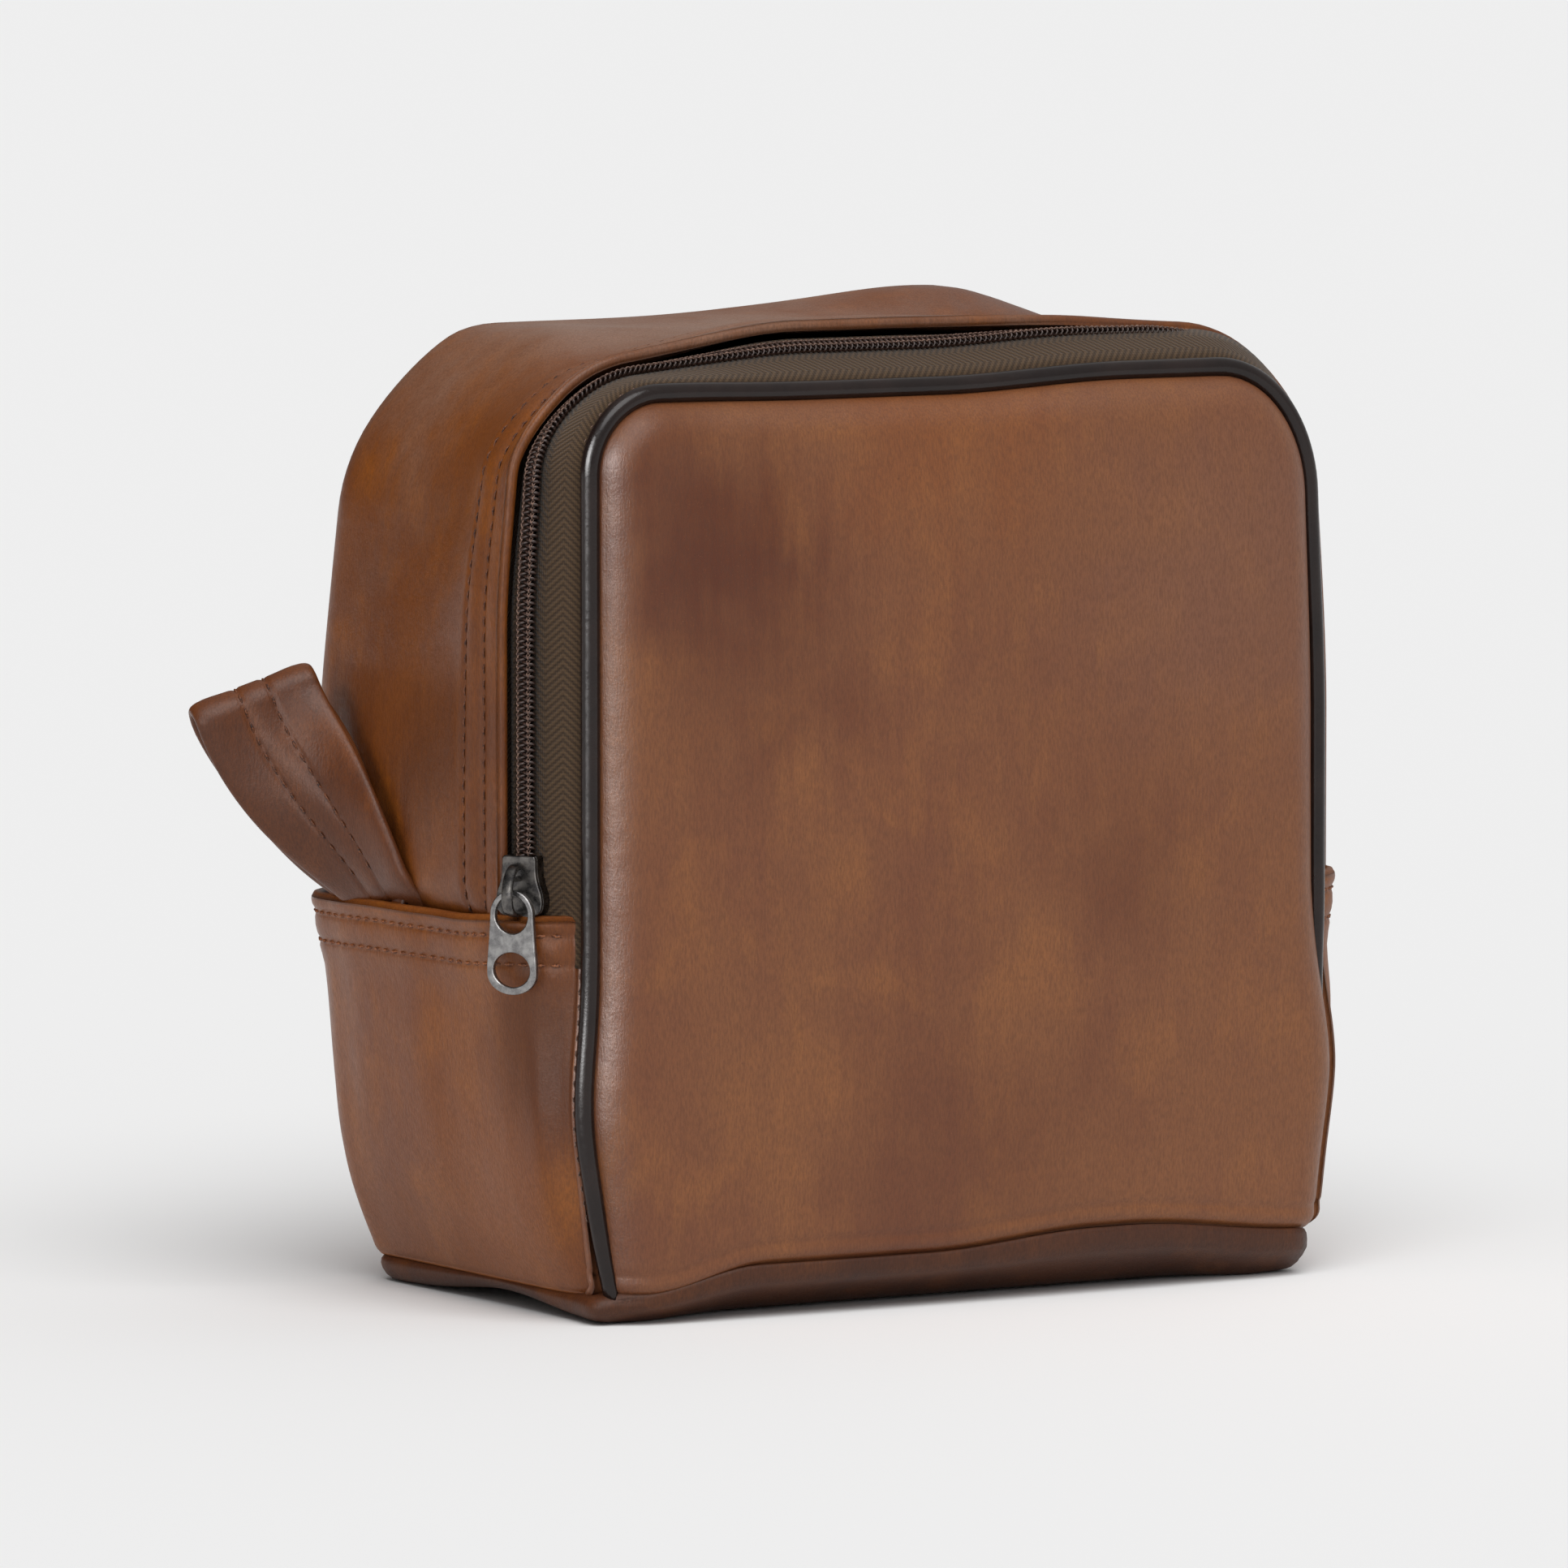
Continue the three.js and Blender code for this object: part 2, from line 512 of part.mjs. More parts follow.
add(root, 'lining_body', loft([...cupInside.reverse(), ...cupOutside]), liningBrown);

// ---- Strap loop on the left side: one run leans out and back, and the other comes down behind it ----
const STRAP_LOW = V(-104.6, 7.2, 83.6);
const STRAP_CUT_Z = 82.7;        // both runs are cut level here, just above the skirt's edge
const STRAP_SPARE = 9;           // length below the cut before it is made
const STRAP_RUN = 51.5;          // length of the run, up to the top of the loop
const TURN_SHARE = 0.86;         // where the strap starts to turn back on itself
const LEAN_SHARE = 0.35;         // where it leans the most
const STRAP_SHIFT = 5;           // the rear run starts this far behind the front one
const strapLean = [[-0.43, 0.44], [-0.57, 0.68], [-0.27, 0.08]];   // sideways and backwards, for each 1 upwards
const strapTwist = [0.03, 0.44, 1.33];
function between([low, middle, high], t) {
  if (t < LEAN_SHARE) {
    return mix(low, middle, smooth(t / LEAN_SHARE));
  }
  return mix(middle, high, smooth((t - LEAN_SHARE) / (1 - LEAN_SHARE)));
}
const strapAlong = (t) => V(between(strapLean.map((l) => l[0]), t), between(strapLean.map((l) => l[1]), t), 1).normalize();
const runSteps = 8;
const strapRun = [];
for (const share of steps(runSteps)) {
  const t = share * TURN_SHARE;
  const along = strapAlong(t);
  const before = strapRun[strapRun.length - 1];
  const place = STRAP_LOW.clone();
  if (before) {
    const halfway = before.along.clone().add(along).multiplyScalar(0.5);
    place.copy(before.place).addScaledVector(halfway, STRAP_RUN * TURN_SHARE / runSteps);
  }
  const twist = between(strapTwist, t);
  const wide = V(-Math.sin(twist), Math.cos(twist), 0);
  wide.addScaledVector(along, -wide.dot(along)).normalize();
  const away = wide.clone().cross(along).normalize();
  strapRun.push({ place, along, wide, away, spread: mix(STRAP_THICK / 2 + GAP / 2, STRAP_SPREAD, smooth(t / 0.7)), t });
}
function strapSection(place, wide, away) {
  const [w, h] = [STRAP_WIDTH / 2, STRAP_THICK / 2];
  return [[-w, 0], [-w + 1, -h], [w - 1, -h], [w, 0], [w - 1, h], [-w + 1, h]].map(([a, b]) => (
    place.clone().addScaledVector(wide, a).addScaledVector(away, b)
  ));
}
const frontRun = strapRun.map((f) => strapSection(f.place, f.wide, f.away));
const rearRun = strapRun.map((f) => {
  const shift = STRAP_SHIFT * (1 - smooth(f.t / 0.6));
  const place = f.place.clone().addScaledVector(f.away, 2 * f.spread).addScaledVector(f.wide, shift);
  return strapSection(place, f.wide, f.away.clone().negate());
});
const turn = strapRun[runSteps];
const turnRings = steps(6).slice(1, -1).map((share) => {
  const angle = share * Math.PI;
  const place = turn.place.clone().addScaledVector(turn.away, turn.spread * (1 - Math.cos(angle)));
  place.addScaledVector(turn.along, turn.spread * Math.sin(angle));
  const outward = turn.away.clone().multiplyScalar(Math.cos(angle)).addScaledVector(turn.along, -Math.sin(angle));
  return strapSection(place, turn.wide, outward);
});
const spare = (run) => run[0].map((p) => p.clone().addScaledVector(strapRun[0].along, -STRAP_SPARE));
const wholeStrap = loft([spare(frontRun), ...frontRun, ...turnRings, ...[...rearRun].reverse(), spare(rearRun)]);
const belowCut = new THREE.BoxGeometry(60, 90, 40).translate(STRAP_LOW.x, STRAP_LOW.y, STRAP_CUT_Z - 20);
add(root, 'handle_strap', cut(wholeStrap, belowCut), leatherBrown);

const anchorRing = (z) => {
  const bump = strapBump(STRAP_Y, z);
  const inner = BODY_HALF_WIDTH - bump + GAP;
  const outer = SKIRT_TOP_HALF_WIDTH - SKIRT_LEATHER + bump - GAP - 0.35;
  const half = STRAP_WIDTH / 2 - 3;
  return [[-inner, -half], [-inner, half], [-outer, half], [-outer, -half]].map(([x, y]) => V(x, STRAP_Y + y, z));
};
add(root, 'handle_anchor', loft([69, 74, SKIRT_TOP_Z].map(anchorRing)), leatherBrown);

// ---- Zip slider, in its own frame: X to the front, Y up the zip, Z away from the bag ----
const sliderX = V(ACROSS.out, -ACROSS.y, 0);
const sliderZ = V(-ABOVE.out, ABOVE.y, 0);
slider.quaternion.setFromRotationMatrix(new THREE.Matrix4().makeBasis(sliderX, V(0, 0, 1), sliderZ));
slider.position.set(-ZIP_HALF_WIDTH, ZIP_Y, SLIDER_LOW_Z);

const PLATE_LOW = 2.7;
const PLATE_HIGH = 3.7;
const FOOT_PLATE_HIGH = -1.05;
const FOOT_PLATE_LOW = -2.05;
const RAIL_IN = 3.25;            // inner faces of the two rails that hold the chain
const RAIL_LOW = 0.3;
const LEG_LOW_Y = 1.8;           // middles of the bridge's two legs, up from the nose
const LEG_HIGH_Y = 9.8;
const PIN_Y = 8;

function sliderOutline(shrink) {
  const shape = new THREE.Shape();
  const [shoulder, tail] = [SLIDER_SHOULDER - shrink, SLIDER_TAIL - shrink];
  const outline = [
    [-tail * 0.7, SLIDER_LENGTH], [-tail, SLIDER_LENGTH - 0.8], [-tail, 6.6], [-shoulder, 4], [-shoulder, 1.6], [-3, 0],
  ];
  const all = [...outline, ...[...outline].reverse().map(([x, y]) => [-x, y])];
  shape.setFromPoints(all.map(([x, y]) => new THREE.Vector2(x, y)));
  return shape;
}
const slab = (shape, low, high) => {
  const geometry = new THREE.ExtrudeGeometry(shape, { depth: high - low, bevelEnabled: false, curveSegments: 6 });
  return geometry.translate(0, 0, low);
};
const block = (x, y, z, width, length, height) => new THREE.BoxGeometry(width, length, height).translate(x, y, z);

const railSpace = block(0, SLIDER_LENGTH / 2, PLATE_LOW / 2, 2 * RAIL_IN, SLIDER_LENGTH * 2, PLATE_LOW);
const pinHole = block(0, PIN_Y, PLATE_LOW, 1.8, 1.6, 4);
const shell = cut(slab(sliderOutline(0), RAIL_LOW, PLATE_HIGH), railSpace, pinHole);
const neck = block(0, 1.5, (FOOT_PLATE_LOW + PLATE_HIGH) / 2, 1.8, 2.6, PLATE_HIGH - FOOT_PLATE_LOW - 0.4);
add(slider, 'zip_slider_body', join(shell, slab(sliderOutline(0.5), FOOT_PLATE_LOW, FOOT_PLATE_HIGH), neck), gunmetal);

const bridgeTop = 8.8;
const bridgeUnder = 7.6;
const bridgeWall = 0.8;
const bridge = new THREE.Shape();
bridge.moveTo(LEG_LOW_Y - bridgeWall, PLATE_HIGH + GAP);
bridge.lineTo(LEG_LOW_Y - bridgeWall, bridgeTop - 1.8);
bridge.quadraticCurveTo(LEG_LOW_Y - bridgeWall, bridgeTop, LEG_LOW_Y + 1.6, bridgeTop);
bridge.lineTo(LEG_HIGH_Y - 1.6, bridgeTop);
bridge.quadraticCurveTo(LEG_HIGH_Y + bridgeWall, bridgeTop, LEG_HIGH_Y + bridgeWall, bridgeTop - 1.8);
bridge.lineTo(LEG_HIGH_Y + bridgeWall, PLATE_HIGH + GAP);
bridge.lineTo(LEG_HIGH_Y - bridgeWall, PLATE_HIGH + GAP);
bridge.lineTo(LEG_HIGH_Y - bridgeWall, bridgeUnder);
bridge.lineTo(LEG_LOW_Y + bridgeWall, bridgeUnder);
bridge.lineTo(LEG_LOW_Y + bridgeWall, PLATE_HIGH + GAP);
const bridgeWidth = 2.4;
const bridgeGeometry = new THREE.ExtrudeGeometry(bridge, { depth: bridgeWidth, bevelEnabled: false, curveSegments: 3 });
bridgeGeometry.translate(0, 0, -bridgeWidth / 2);
bridgeGeometry.applyMatrix4(new THREE.Matrix4().makeBasis(V(0, 1, 0), V(0, 0, 1), V(1, 0, 0)));
add(slider, 'zip_slider_bridge', bridgeGeometry, gunmetal);

const pinHigh = bridgeUnder - GAP;
const pinLow = CHAIN_HIGH + GAP;
add(slider, 'zip_lock_pin', block(0, PIN_Y, (pinHigh + pinLow) / 2, 1.1, 0.9, pinHigh - pinLow), gunmetal);

// ---- Pull tab, hanging from the bridge ----
const TAB_TOP_HALF = 5.1;
const TAB_LOW_HALF = 5.7;
const RING_WALL = 0.9;           // from the turning axis to the ring's edge, both ways
const RING_HOLE = 3.6;
const tabTop = TAB_AXIS_Z - SLIDER_LOW_Z + RING_WALL;
const tabShape = new THREE.Shape();
tabShape.absarc(0, tabTop - TAB_TOP_HALF, TAB_TOP_HALF, 0, Math.PI, false);
tabShape.lineTo(-TAB_TOP_HALF + 0.3, tabTop - 9);
tabShape.lineTo(-TAB_LOW_HALF, tabTop - 11.5);
tabShape.lineTo(-TAB_LOW_HALF, tabTop - TAB_LENGTH + 3.8);
tabShape.quadraticCurveTo(-TAB_LOW_HALF, tabTop - TAB_LENGTH, 0, tabTop - TAB_LENGTH);
tabShape.quadraticCurveTo(TAB_LOW_HALF, tabTop - TAB_LENGTH, TAB_LOW_HALF, tabTop - TAB_LENGTH + 3.8);
tabShape.lineTo(TAB_LOW_HALF, tabTop - 11.5);
tabShape.lineTo(TAB_TOP_HALF - 0.3, tabTop - 9);
const ringHole = new THREE.Path();
ringHole.absarc(0, tabTop - 2 * RING_WALL - RING_HOLE, RING_HOLE, 0, 2 * Math.PI, true);
const gripHole = new THREE.Path();
gripHole.absellipse(0, tabTop - TAB_LENGTH + 5, 4.1, 3.2, 0, 2 * Math.PI, true);
tabShape.holes.push(ringHole, gripHole);
const tabLow = TAB_AXIS_ABOVE - TAB_THICK / 2;
add(slider, 'zip_pull_tab', slab(tabShape, tabLow, tabLow + TAB_THICK), brushedGrey);

export default root;
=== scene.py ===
"""Looks of a leather shaving kit bag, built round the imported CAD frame.

Lengths in this script are millimetres, turned into metres when a mesh is made. The frame is the CAD's:
+Z up, the front flap faces -Y, and the left side of the bag is at -X.
"""
import math

import bmesh
import bpy
import numpy as np
from mathutils import Matrix, Vector


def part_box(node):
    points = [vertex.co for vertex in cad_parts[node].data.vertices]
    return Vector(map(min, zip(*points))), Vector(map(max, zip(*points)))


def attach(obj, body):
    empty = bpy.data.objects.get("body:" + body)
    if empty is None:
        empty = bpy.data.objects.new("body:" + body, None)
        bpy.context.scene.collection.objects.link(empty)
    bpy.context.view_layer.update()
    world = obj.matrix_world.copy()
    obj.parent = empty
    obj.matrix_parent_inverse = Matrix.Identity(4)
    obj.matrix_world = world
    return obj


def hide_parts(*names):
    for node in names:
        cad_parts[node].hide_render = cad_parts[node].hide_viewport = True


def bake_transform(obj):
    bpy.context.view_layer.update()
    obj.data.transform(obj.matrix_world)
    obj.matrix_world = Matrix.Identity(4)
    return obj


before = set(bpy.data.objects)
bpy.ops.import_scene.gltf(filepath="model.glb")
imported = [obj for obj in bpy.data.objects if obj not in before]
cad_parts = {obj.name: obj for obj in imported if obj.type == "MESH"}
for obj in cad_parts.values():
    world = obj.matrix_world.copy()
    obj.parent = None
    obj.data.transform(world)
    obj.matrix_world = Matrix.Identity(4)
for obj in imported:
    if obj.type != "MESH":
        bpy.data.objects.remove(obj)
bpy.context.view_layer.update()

MM = 0.001


def box_mm(node):
    low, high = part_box(node)
    return np.array(low) / MM, np.array(high) / MM


# ---- Sizes, from the frame and a few driving dimensions ----
gusset_low, gusset_high = box_mm("upper_gusset")
piping_low, piping_high = box_mm("piping_flap")
skirt_high = box_mm("lower_skirt")[1]
base_high = box_mm("base_panel")[1]
slider_low, slider_high = box_mm("zip_slider_body")

BODY_HALF = gusset_high[0]
BODY_TOP = gusset_high[2]
BODY_CORNER = 28.5           # corner radius of the filled body at its front, and at its back
BODY_BACK_CORNER = 40.0
RIGHT_ROUNDER = 9.3          # the bag's right top corner has sagged into a rounder one
BACK_ROLL = 14.0             # radius of the roll round the back, where it starts and how far it goes
BACK_ROLL_Y = 35.0
BACK_ROLL_DEGREES = 84
GUSSET_EDGE_Y = gusset_low[1]
GUSSET_END_Z = gusset_low[2]

PIPING_R = (piping_high[1] - piping_low[1]) / 2
PIPING_Y = (piping_high[1] + piping_low[1]) / 2
PIPING_HALF = piping_high[0] - PIPING_R
PIPING_TOP = piping_high[2] - PIPING_R
ZIP_OUT = 7.8                # the zip's middle line, outward of the piping's and behind it
ZIP_BACK = 11.8
PIPING_CORNER = 15.7
ZIP_CORNER = PIPING_CORNER + ZIP_OUT
ZIP_TURN = math.radians(30.3)

FOLD_Z = 82.0
SKIRT_TOP = skirt_high[2]
SKIRT_FULL_Z = 72.0
SEAM_Z = 6.0
SEAM_HALF = 87.4
SEAM_BACK_Y = 47.6

PANEL_INSET = 1.3
PANEL_EDGE_Y = -46.8
PANEL_ROLL = 6.0             # depth and width of the roll round the front panel's edge
PANEL_ROLL_WIDTH = 8.5
PANEL_SHOULDER = 2.4         # the gentle turn between the roll and the crown
PANEL_CROWN = 4.4

SLIDER_Z = slider_low[2]
SLIDER_LENGTH = slider_high[2] - slider_low[2]
TAB_AXIS_Z = 88.0
TAB_AXIS_ABOVE = 6.2
STITCH_GAUGE = 6.0           # between two rows of a double seam
STRAP_WIDTH = 27.0
STRAP_Y = 13.0
COIL_PITCH = 1.24
COIL_WIRE = 0.30


# ---- Small maths, all on numpy arrays ----
def mix(a, b, t):
    return a + (b - a) * t


def ramp(t):
    t = np.clip(t, 0, 1)
    return t * t * (3 - 2 * t)


def bell(d, width):
    return np.exp(-((d / width) ** 2))


def stack(*columns):
    return np.stack(np.broadcast_arrays(*columns), axis=-1).astype(float)


def unit(v):
    return v / np.maximum(np.linalg.norm(v, axis=-1, keepdims=True), 1e-12)


def spaced(stops, step):
    """Values through the stops in order, about step apart, with every stop among them."""
    values = [stops[0]]
    for a, b in zip(stops, stops[1:]):
        count = max(1, round(abs(b - a) / step))
        values.extend(a + (b - a) * (i + 1) / count for i in range(count))
    return np.array(values, float)


def run_length(places):
    return np.concatenate([[0], np.cumsum(np.linalg.norm(np.diff(places, axis=0), axis=1))])


def at_lengths(values, lengths, where):
    """Values given along a line, read off at other lengths along it."""
    return np.stack([np.interp(where, lengths, values[:, k]) for k in range(3)], axis=-1)


def wander(points, scale, seed):
    """A smooth made-up unevenness from -1 to 1, the same on each run."""
    rng = np.random.default_rng(seed)
    total = 0
    for _ in range(5):
        direction = unit(rng.normal(size=3))
        phase = rng.uniform(0, 2 * math.pi)
        total = total + np.sin(points @ direction * 2 * math.pi / (scale * rng.uniform(0.7, 1.5)) + phase)
    return total / 3.2


# ---- Mesh making ----
def in_scene(obj):
    bpy.context.scene.collection.objects.link(obj)
    return obj


def add_vectors(mesh, name, vectors):
    """Stores a vector at each point, for the material to read."""
    attribute = mesh.attributes.new(name, "FLOAT_VECTOR", "POINT")
    attribute.data.foreach_set("vector", np.asarray(vectors, np.float32).ravel())


def make_object(name, points, faces, material, flow=None):
    mesh = bpy.data.meshes.new(name)
    mesh.from_pydata((points * MM).tolist(), [], faces)
    mesh.validate()
    add_vectors(mesh, "rest", points)
    if flow is not None:
        add_vectors(mesh, "flow", flow)
    mesh.polygons.foreach_set("use_smooth", [True] * len(mesh.polygons))
    mesh.materials.append(material)
    return in_scene(bpy.data.objects.new(name, mesh))


def grid_faces(rows, columns, offset=0, wrap_columns=False, flip=False):
    last = columns if wrap_columns else columns - 1
    i, j = np.meshgrid(np.arange(rows - 1), np.arange(last), indexing="ij")
    a = i * columns + j
    b = i * columns + (j + 1) % columns
    quad = [a, b, b + columns, a + columns]
    return (np.stack(quad[::-1] if flip else quad, axis=-1).reshape(-1, 4) + offset).tolist()


def tube_faces(rings, around, offset=0):
    """Faces of a tube of rings, closed at both ends."""
    first = [offset + k for k in range(around)]
    last = [(rings - 1) * around + k for k in first]
    return grid_faces(rings, around, offset, wrap_columns=True) + [first[::-1], last]


def grid_normals(grid):
    return unit(np.cross(np.gradient(grid, axis=1), np.gradient(grid, axis=0)))


def leather_sheet(name, grid, thickness, material, outward, flow=None):
    """A sheet with rounded edges. The grid is its visible face, and outward is the side it is seen from."""
    rounding = 3
    rows, columns = grid.shape[:2]
    normal = grid_normals(grid) * outward
    thickness = np.broadcast_to(thickness, (rows, columns))[..., None]
    flow = np.zeros_like(grid) if flow is None else flow
    border = (
        [(0, j) for j in range(columns)]
        + [(i, columns - 1) for i in range(1, rows)]
        + [(rows - 1, j) for j in range(columns - 2, -1, -1)]
        + [(i, 0) for i in range(rows - 2, 0, -1)]
    )
    bi, bj = np.array(border).T
    rim, rim_normal, rim_thick = grid[bi, bj], normal[bi, bj], thickness[bi, bj]
    out = unit(rim - grid[np.clip(bi, 1, rows - 2), np.clip(bj, 1, columns - 2)])
    out = unit(out - rim_normal * np.sum(out * rim_normal, axis=-1, keepdims=True))
    rings = []
    for k in range(1, rounding + 1):
        angle = math.pi * k / (rounding + 1)
        rings.append(rim + rim_thick / 2 * (out * math.sin(angle) - rim_normal * (1 - math.cos(angle))))
    inner = grid - normal * thickness
    points = np.concatenate([grid.reshape(-1, 3), *rings, inner.reshape(-1, 3)])
    flows = np.concatenate([flow.reshape(-1, 3)] + [flow[bi, bj]] * rounding + [flow.reshape(-1, 3)])
    total = rows * columns
    flip = outward > 0
    faces = grid_faces(rows, columns, 0, flip=flip)
    faces += grid_faces(rows, columns, total + rounding * len(border), flip=not flip)
    first = bi * columns + bj
    last = first + total + rounding * len(border)
    loops = [first] + [total + k * len(border) + np.arange(len(border)) for k in range(rounding)] + [last]
    for a, b in zip(loops, loops[1:]):
        for k in range(len(border)):
            m = (k + 1) % len(border)
            quad = [int(a[k]), int(b[k]), int(b[m]), int(a[m])]
            faces.append(quad if flip else quad[::-1])
    return make_object(name, points, faces, material, flows)


def swept(name, centres, sides, ups, section, material, squeeze=1.0, soft=False):
    """A section, given as (side, up) pairs, carried along a line with its own side and up at each place.

    A soft piece settles point by point, with the leather that it is sewn to.
    """
    section = np.array(section, float)
    count, around = len(centres), len(section)
    squeeze = np.broadcast_to(squeeze, count)[:, None, None]
    side, up = section[None, :, :1], section[None, :, 1:]
    points = centres[:, None] + sides[:, None] * side + ups[:, None] * up * squeeze
    points = (settle(points) if soft else points).reshape(-1, 3)
    flow = stack(run_length(centres)[:, None], section[None, :, 0], section[None, :, 1]).reshape(-1, 3)
    return fix_normals(make_object(name, points, tube_faces(count, around), material, flow))


def fix_normals(obj):
    bm = bmesh.new()
    bm.from_mesh(obj.data)
    bmesh.ops.recalc_face_normals(bm, faces=bm.faces)
    bm.to_mesh(obj.data)
    bm.free()
    return obj


def circle(radius, count):
    angles = np.arange(count) * 2 * math.pi / count
    return np.stack([radius * np.cos(angles), radius * np.sin(angles)], axis=-1)


def line_frames(points, ups):
    """Unit tangents, sides and ups along a line, with each up made square to the line."""
    tangents = unit(np.gradient(points, axis=0))
    ups = unit(ups - tangents * np.sum(ups * tangents, axis=-1, keepdims=True))
    return tangents, np.cross(tangents, ups), ups


def stitches(name, line, ups, pitch, length, radius, material, lift, slant=0.0):
    """A row of separate thread stitches along a line. Each one arches out and dips in at both ends."""
    lengths = run_length(line)
    count = int(lengths[-1] // pitch)
    starts = (lengths[-1] - count * pitch) / 2 + pitch * np.arange(count)
    segments, around = 7, 6
    share = np.linspace(0, 1, segments)
    _, sides, ups = line_frames(line, ups)
    ring = circle(1, around)
    points, faces = [], []
    for start in starts:
        where = start + (pitch - length) / 2 + share * length
        centre, side, up = [at_lengths(values, lengths, where) for values in (line, sides, ups)]
        side, up = unit(side), unit(up)
        rise = lift + radius * (1.9 * np.sin(share * math.pi) - 1.1)
        centre = centre + up * rise[:, None] + side * (slant * (share - 0.5))[:, None]
        thick = radius * np.sqrt(np.clip(np.sin(np.clip(share, 0.06, 0.94) * math.pi), 0, 1))
        rings = side[:, None] * ring[None, :, :1] + up[:, None] * ring[None, :, 1:]
        faces += tube_faces(segments, around, len(points) * segments * around)
        points.append((centre[:, None] + thick[:, None, None] * rings).reshape(-1, 3))
    return fix_normals(make_object(name, np.concatenate(points), faces, material))


# ---- The soft shape: the same unevenness moves every piece near it ----
def settle(p):
    """How the filled leather bag sits: a hump at the back of the top, sides that lean in, and soft dents."""
    p = np.array(p, float)
    x, y, z = p[..., 0], p[..., 1], p[..., 2]
    top = ramp((z - 150) / 48)
    behind_piping = np.clip((y + 46) / 16, 0, 1)
    behind_zip = ramp((y + 36.5) / 5)
    front_line = 0.7 * bell(x + 68, 18) + 2.0 * ramp((x + 5) / 45)
    back_line = -3.2 + 6.8 * bell(x - 44, np.where(x < 44, 36, 19)) * ramp((y - 4) / 26)
    crease = 1.5 * bell(y - 1 - 0.12 * x, 5.5) * bell(x - 44, 30)
    crease = crease - 1.2 * bell(y + 14 - 0.1 * x, 6) * bell(x - 38, 34)
    droop = ramp((x + 8) / 84) * ramp((y + 37.6) / 7) * mix(9.0, 3.0, ramp((y + 24) / 40))
    lift = top * (mix(front_line, back_line, ramp((y + 33) / 26)) - crease - droop)
    lean_left = 8.0 * ramp((z - 100) / 95) * ramp((y + 28) / 34) * ramp((204 - z) / 12 + 0.4)
    lean_right = 2.2 * ramp((z - 50) / 30) * behind_zip + 2.6 * ramp((z - 115) / 65)
    lean_right = lean_right + 3.6 * ramp((z - 135) / 60) * ramp((y + 36) / 8)
    sides = ramp((np.abs(x) - 55) / 40)
    dent = 3.0 * bell(y + 8, 12) * bell(z - 174, 17) + 1.0 * bell(y - 6, 16) * bell(z - 158, 22)
    belly = 1.2 * bell(y - 12, 20) * bell(z - 135, 30)
    wave = 0.45 * wander(p, 62, 5) * ramp((y + 30) / 12)
    waist = 3.2 * ramp((88 - z) / 10) * ramp((y + 31) / 9) + 4.0 * ramp((82.5 - z) / 7) * ramp((y + 38) / 3)
    front_corner = ramp((np.abs(x) - 30) / 50) * ramp((z - 140) / 45) * behind_piping * ramp((4 - y) / 30)
    round_off = front_corner * np.where(x < 0, 8.0, 0.0)
    lift = lift - round_off * ramp((z - 165) / 30)
    edge_in = 0.6 * ramp((y + 38) / 5) * ramp((-20 - y) / 8) * sides
    moved = p.copy()
    inwards = np.where(x < 0, lean_left + dent - belly, lean_right) - wave
    inwards = sides * inwards + ramp((np.abs(x) - 60) / 20) * waist + 0.45 * round_off * sides + edge_in
    moved[..., 0] = x - np.sign(x) * inwards
    moved[..., 2] = z + lift + top * wave * 0.8
    return moved


# ---- The arch: up the left side, over the top and down the right side ----
def arch(half, top, corners, heights, corner_steps, top_steps):
    """Places (x, z) along an arch, and the outward directions there, with two corner radii: left and right.

    The heights, up to the corner, are stretched to fit each side.
    """
    def side(corner):
        angle = np.linspace(0, math.pi / 2, corner_steps + 1)[1:]
        z = heights[0] + (heights - heights[0]) * (top - corner - heights[0]) / (heights[-1] - heights[0])
        turn = stack(half - corner + corner * np.cos(angle), top - corner + corner * np.sin(angle))
        places = np.concatenate([stack(half, z), turn])
        outs = np.concatenate([stack(1 + 0 * z, 0), stack(np.cos(angle), np.sin(angle))])
        return places, outs
    flip = np.array([-1, 1])
    (left, left_outs), (right, right_outs) = side(corners[0]), side(corners[1])
    across = np.linspace(corners[0] - half, half - corners[1], top_steps + 1)[1:-1]
    places = np.concatenate([left * flip, stack(across, top), right[::-1]])
    outs = np.concatenate([left_outs * flip, stack(0 * across, 1), right_outs[::-1]])
    return places, outs


def zip_frame(low_z, step):
    """Places, across directions and outward directions along the middle of the zip."""
    half, top, corner = PIPING_HALF + ZIP_OUT, PIPING_TOP + ZIP_OUT, ZIP_CORNER
    heights = spaced([low_z, top - corner], step)
    corners = (corner, corner + RIGHT_ROUNDER)
    corner_steps, top_steps = round(corner * 1.57 / step), round(2 * (half - corner) / step)
    places, outs = arch(half, top, corners, heights, corner_steps, top_steps)
    centre = stack(places[:, 0], PIPING_Y + ZIP_BACK, places[:, 1])
    out = stack(outs[:, 0], 0, outs[:, 1])
    depth = np.array([0, 1.0, 0])
    across = out * math.sin(ZIP_TURN) + depth * math.cos(ZIP_TURN)
    above = out * math.cos(ZIP_TURN) - depth * math.sin(ZIP_TURN)
    return centre, across, above


# ---- Materials ----
def linear(red, green, blue):
    """A colour given as 8-bit display values, as the linear colour that shaders use."""
    channel = lambda v: v / 12.92 if v <= 0.04045 else ((v + 0.055) / 1.055) ** 2.4
    return (channel(red / 255), channel(green / 255), channel(blue / 255), 1.0)


def link(tree, value, socket):
    if isinstance(value, bpy.types.NodeSocket):
        tree.links.new(value, socket)
    else:
        socket.default_value = value


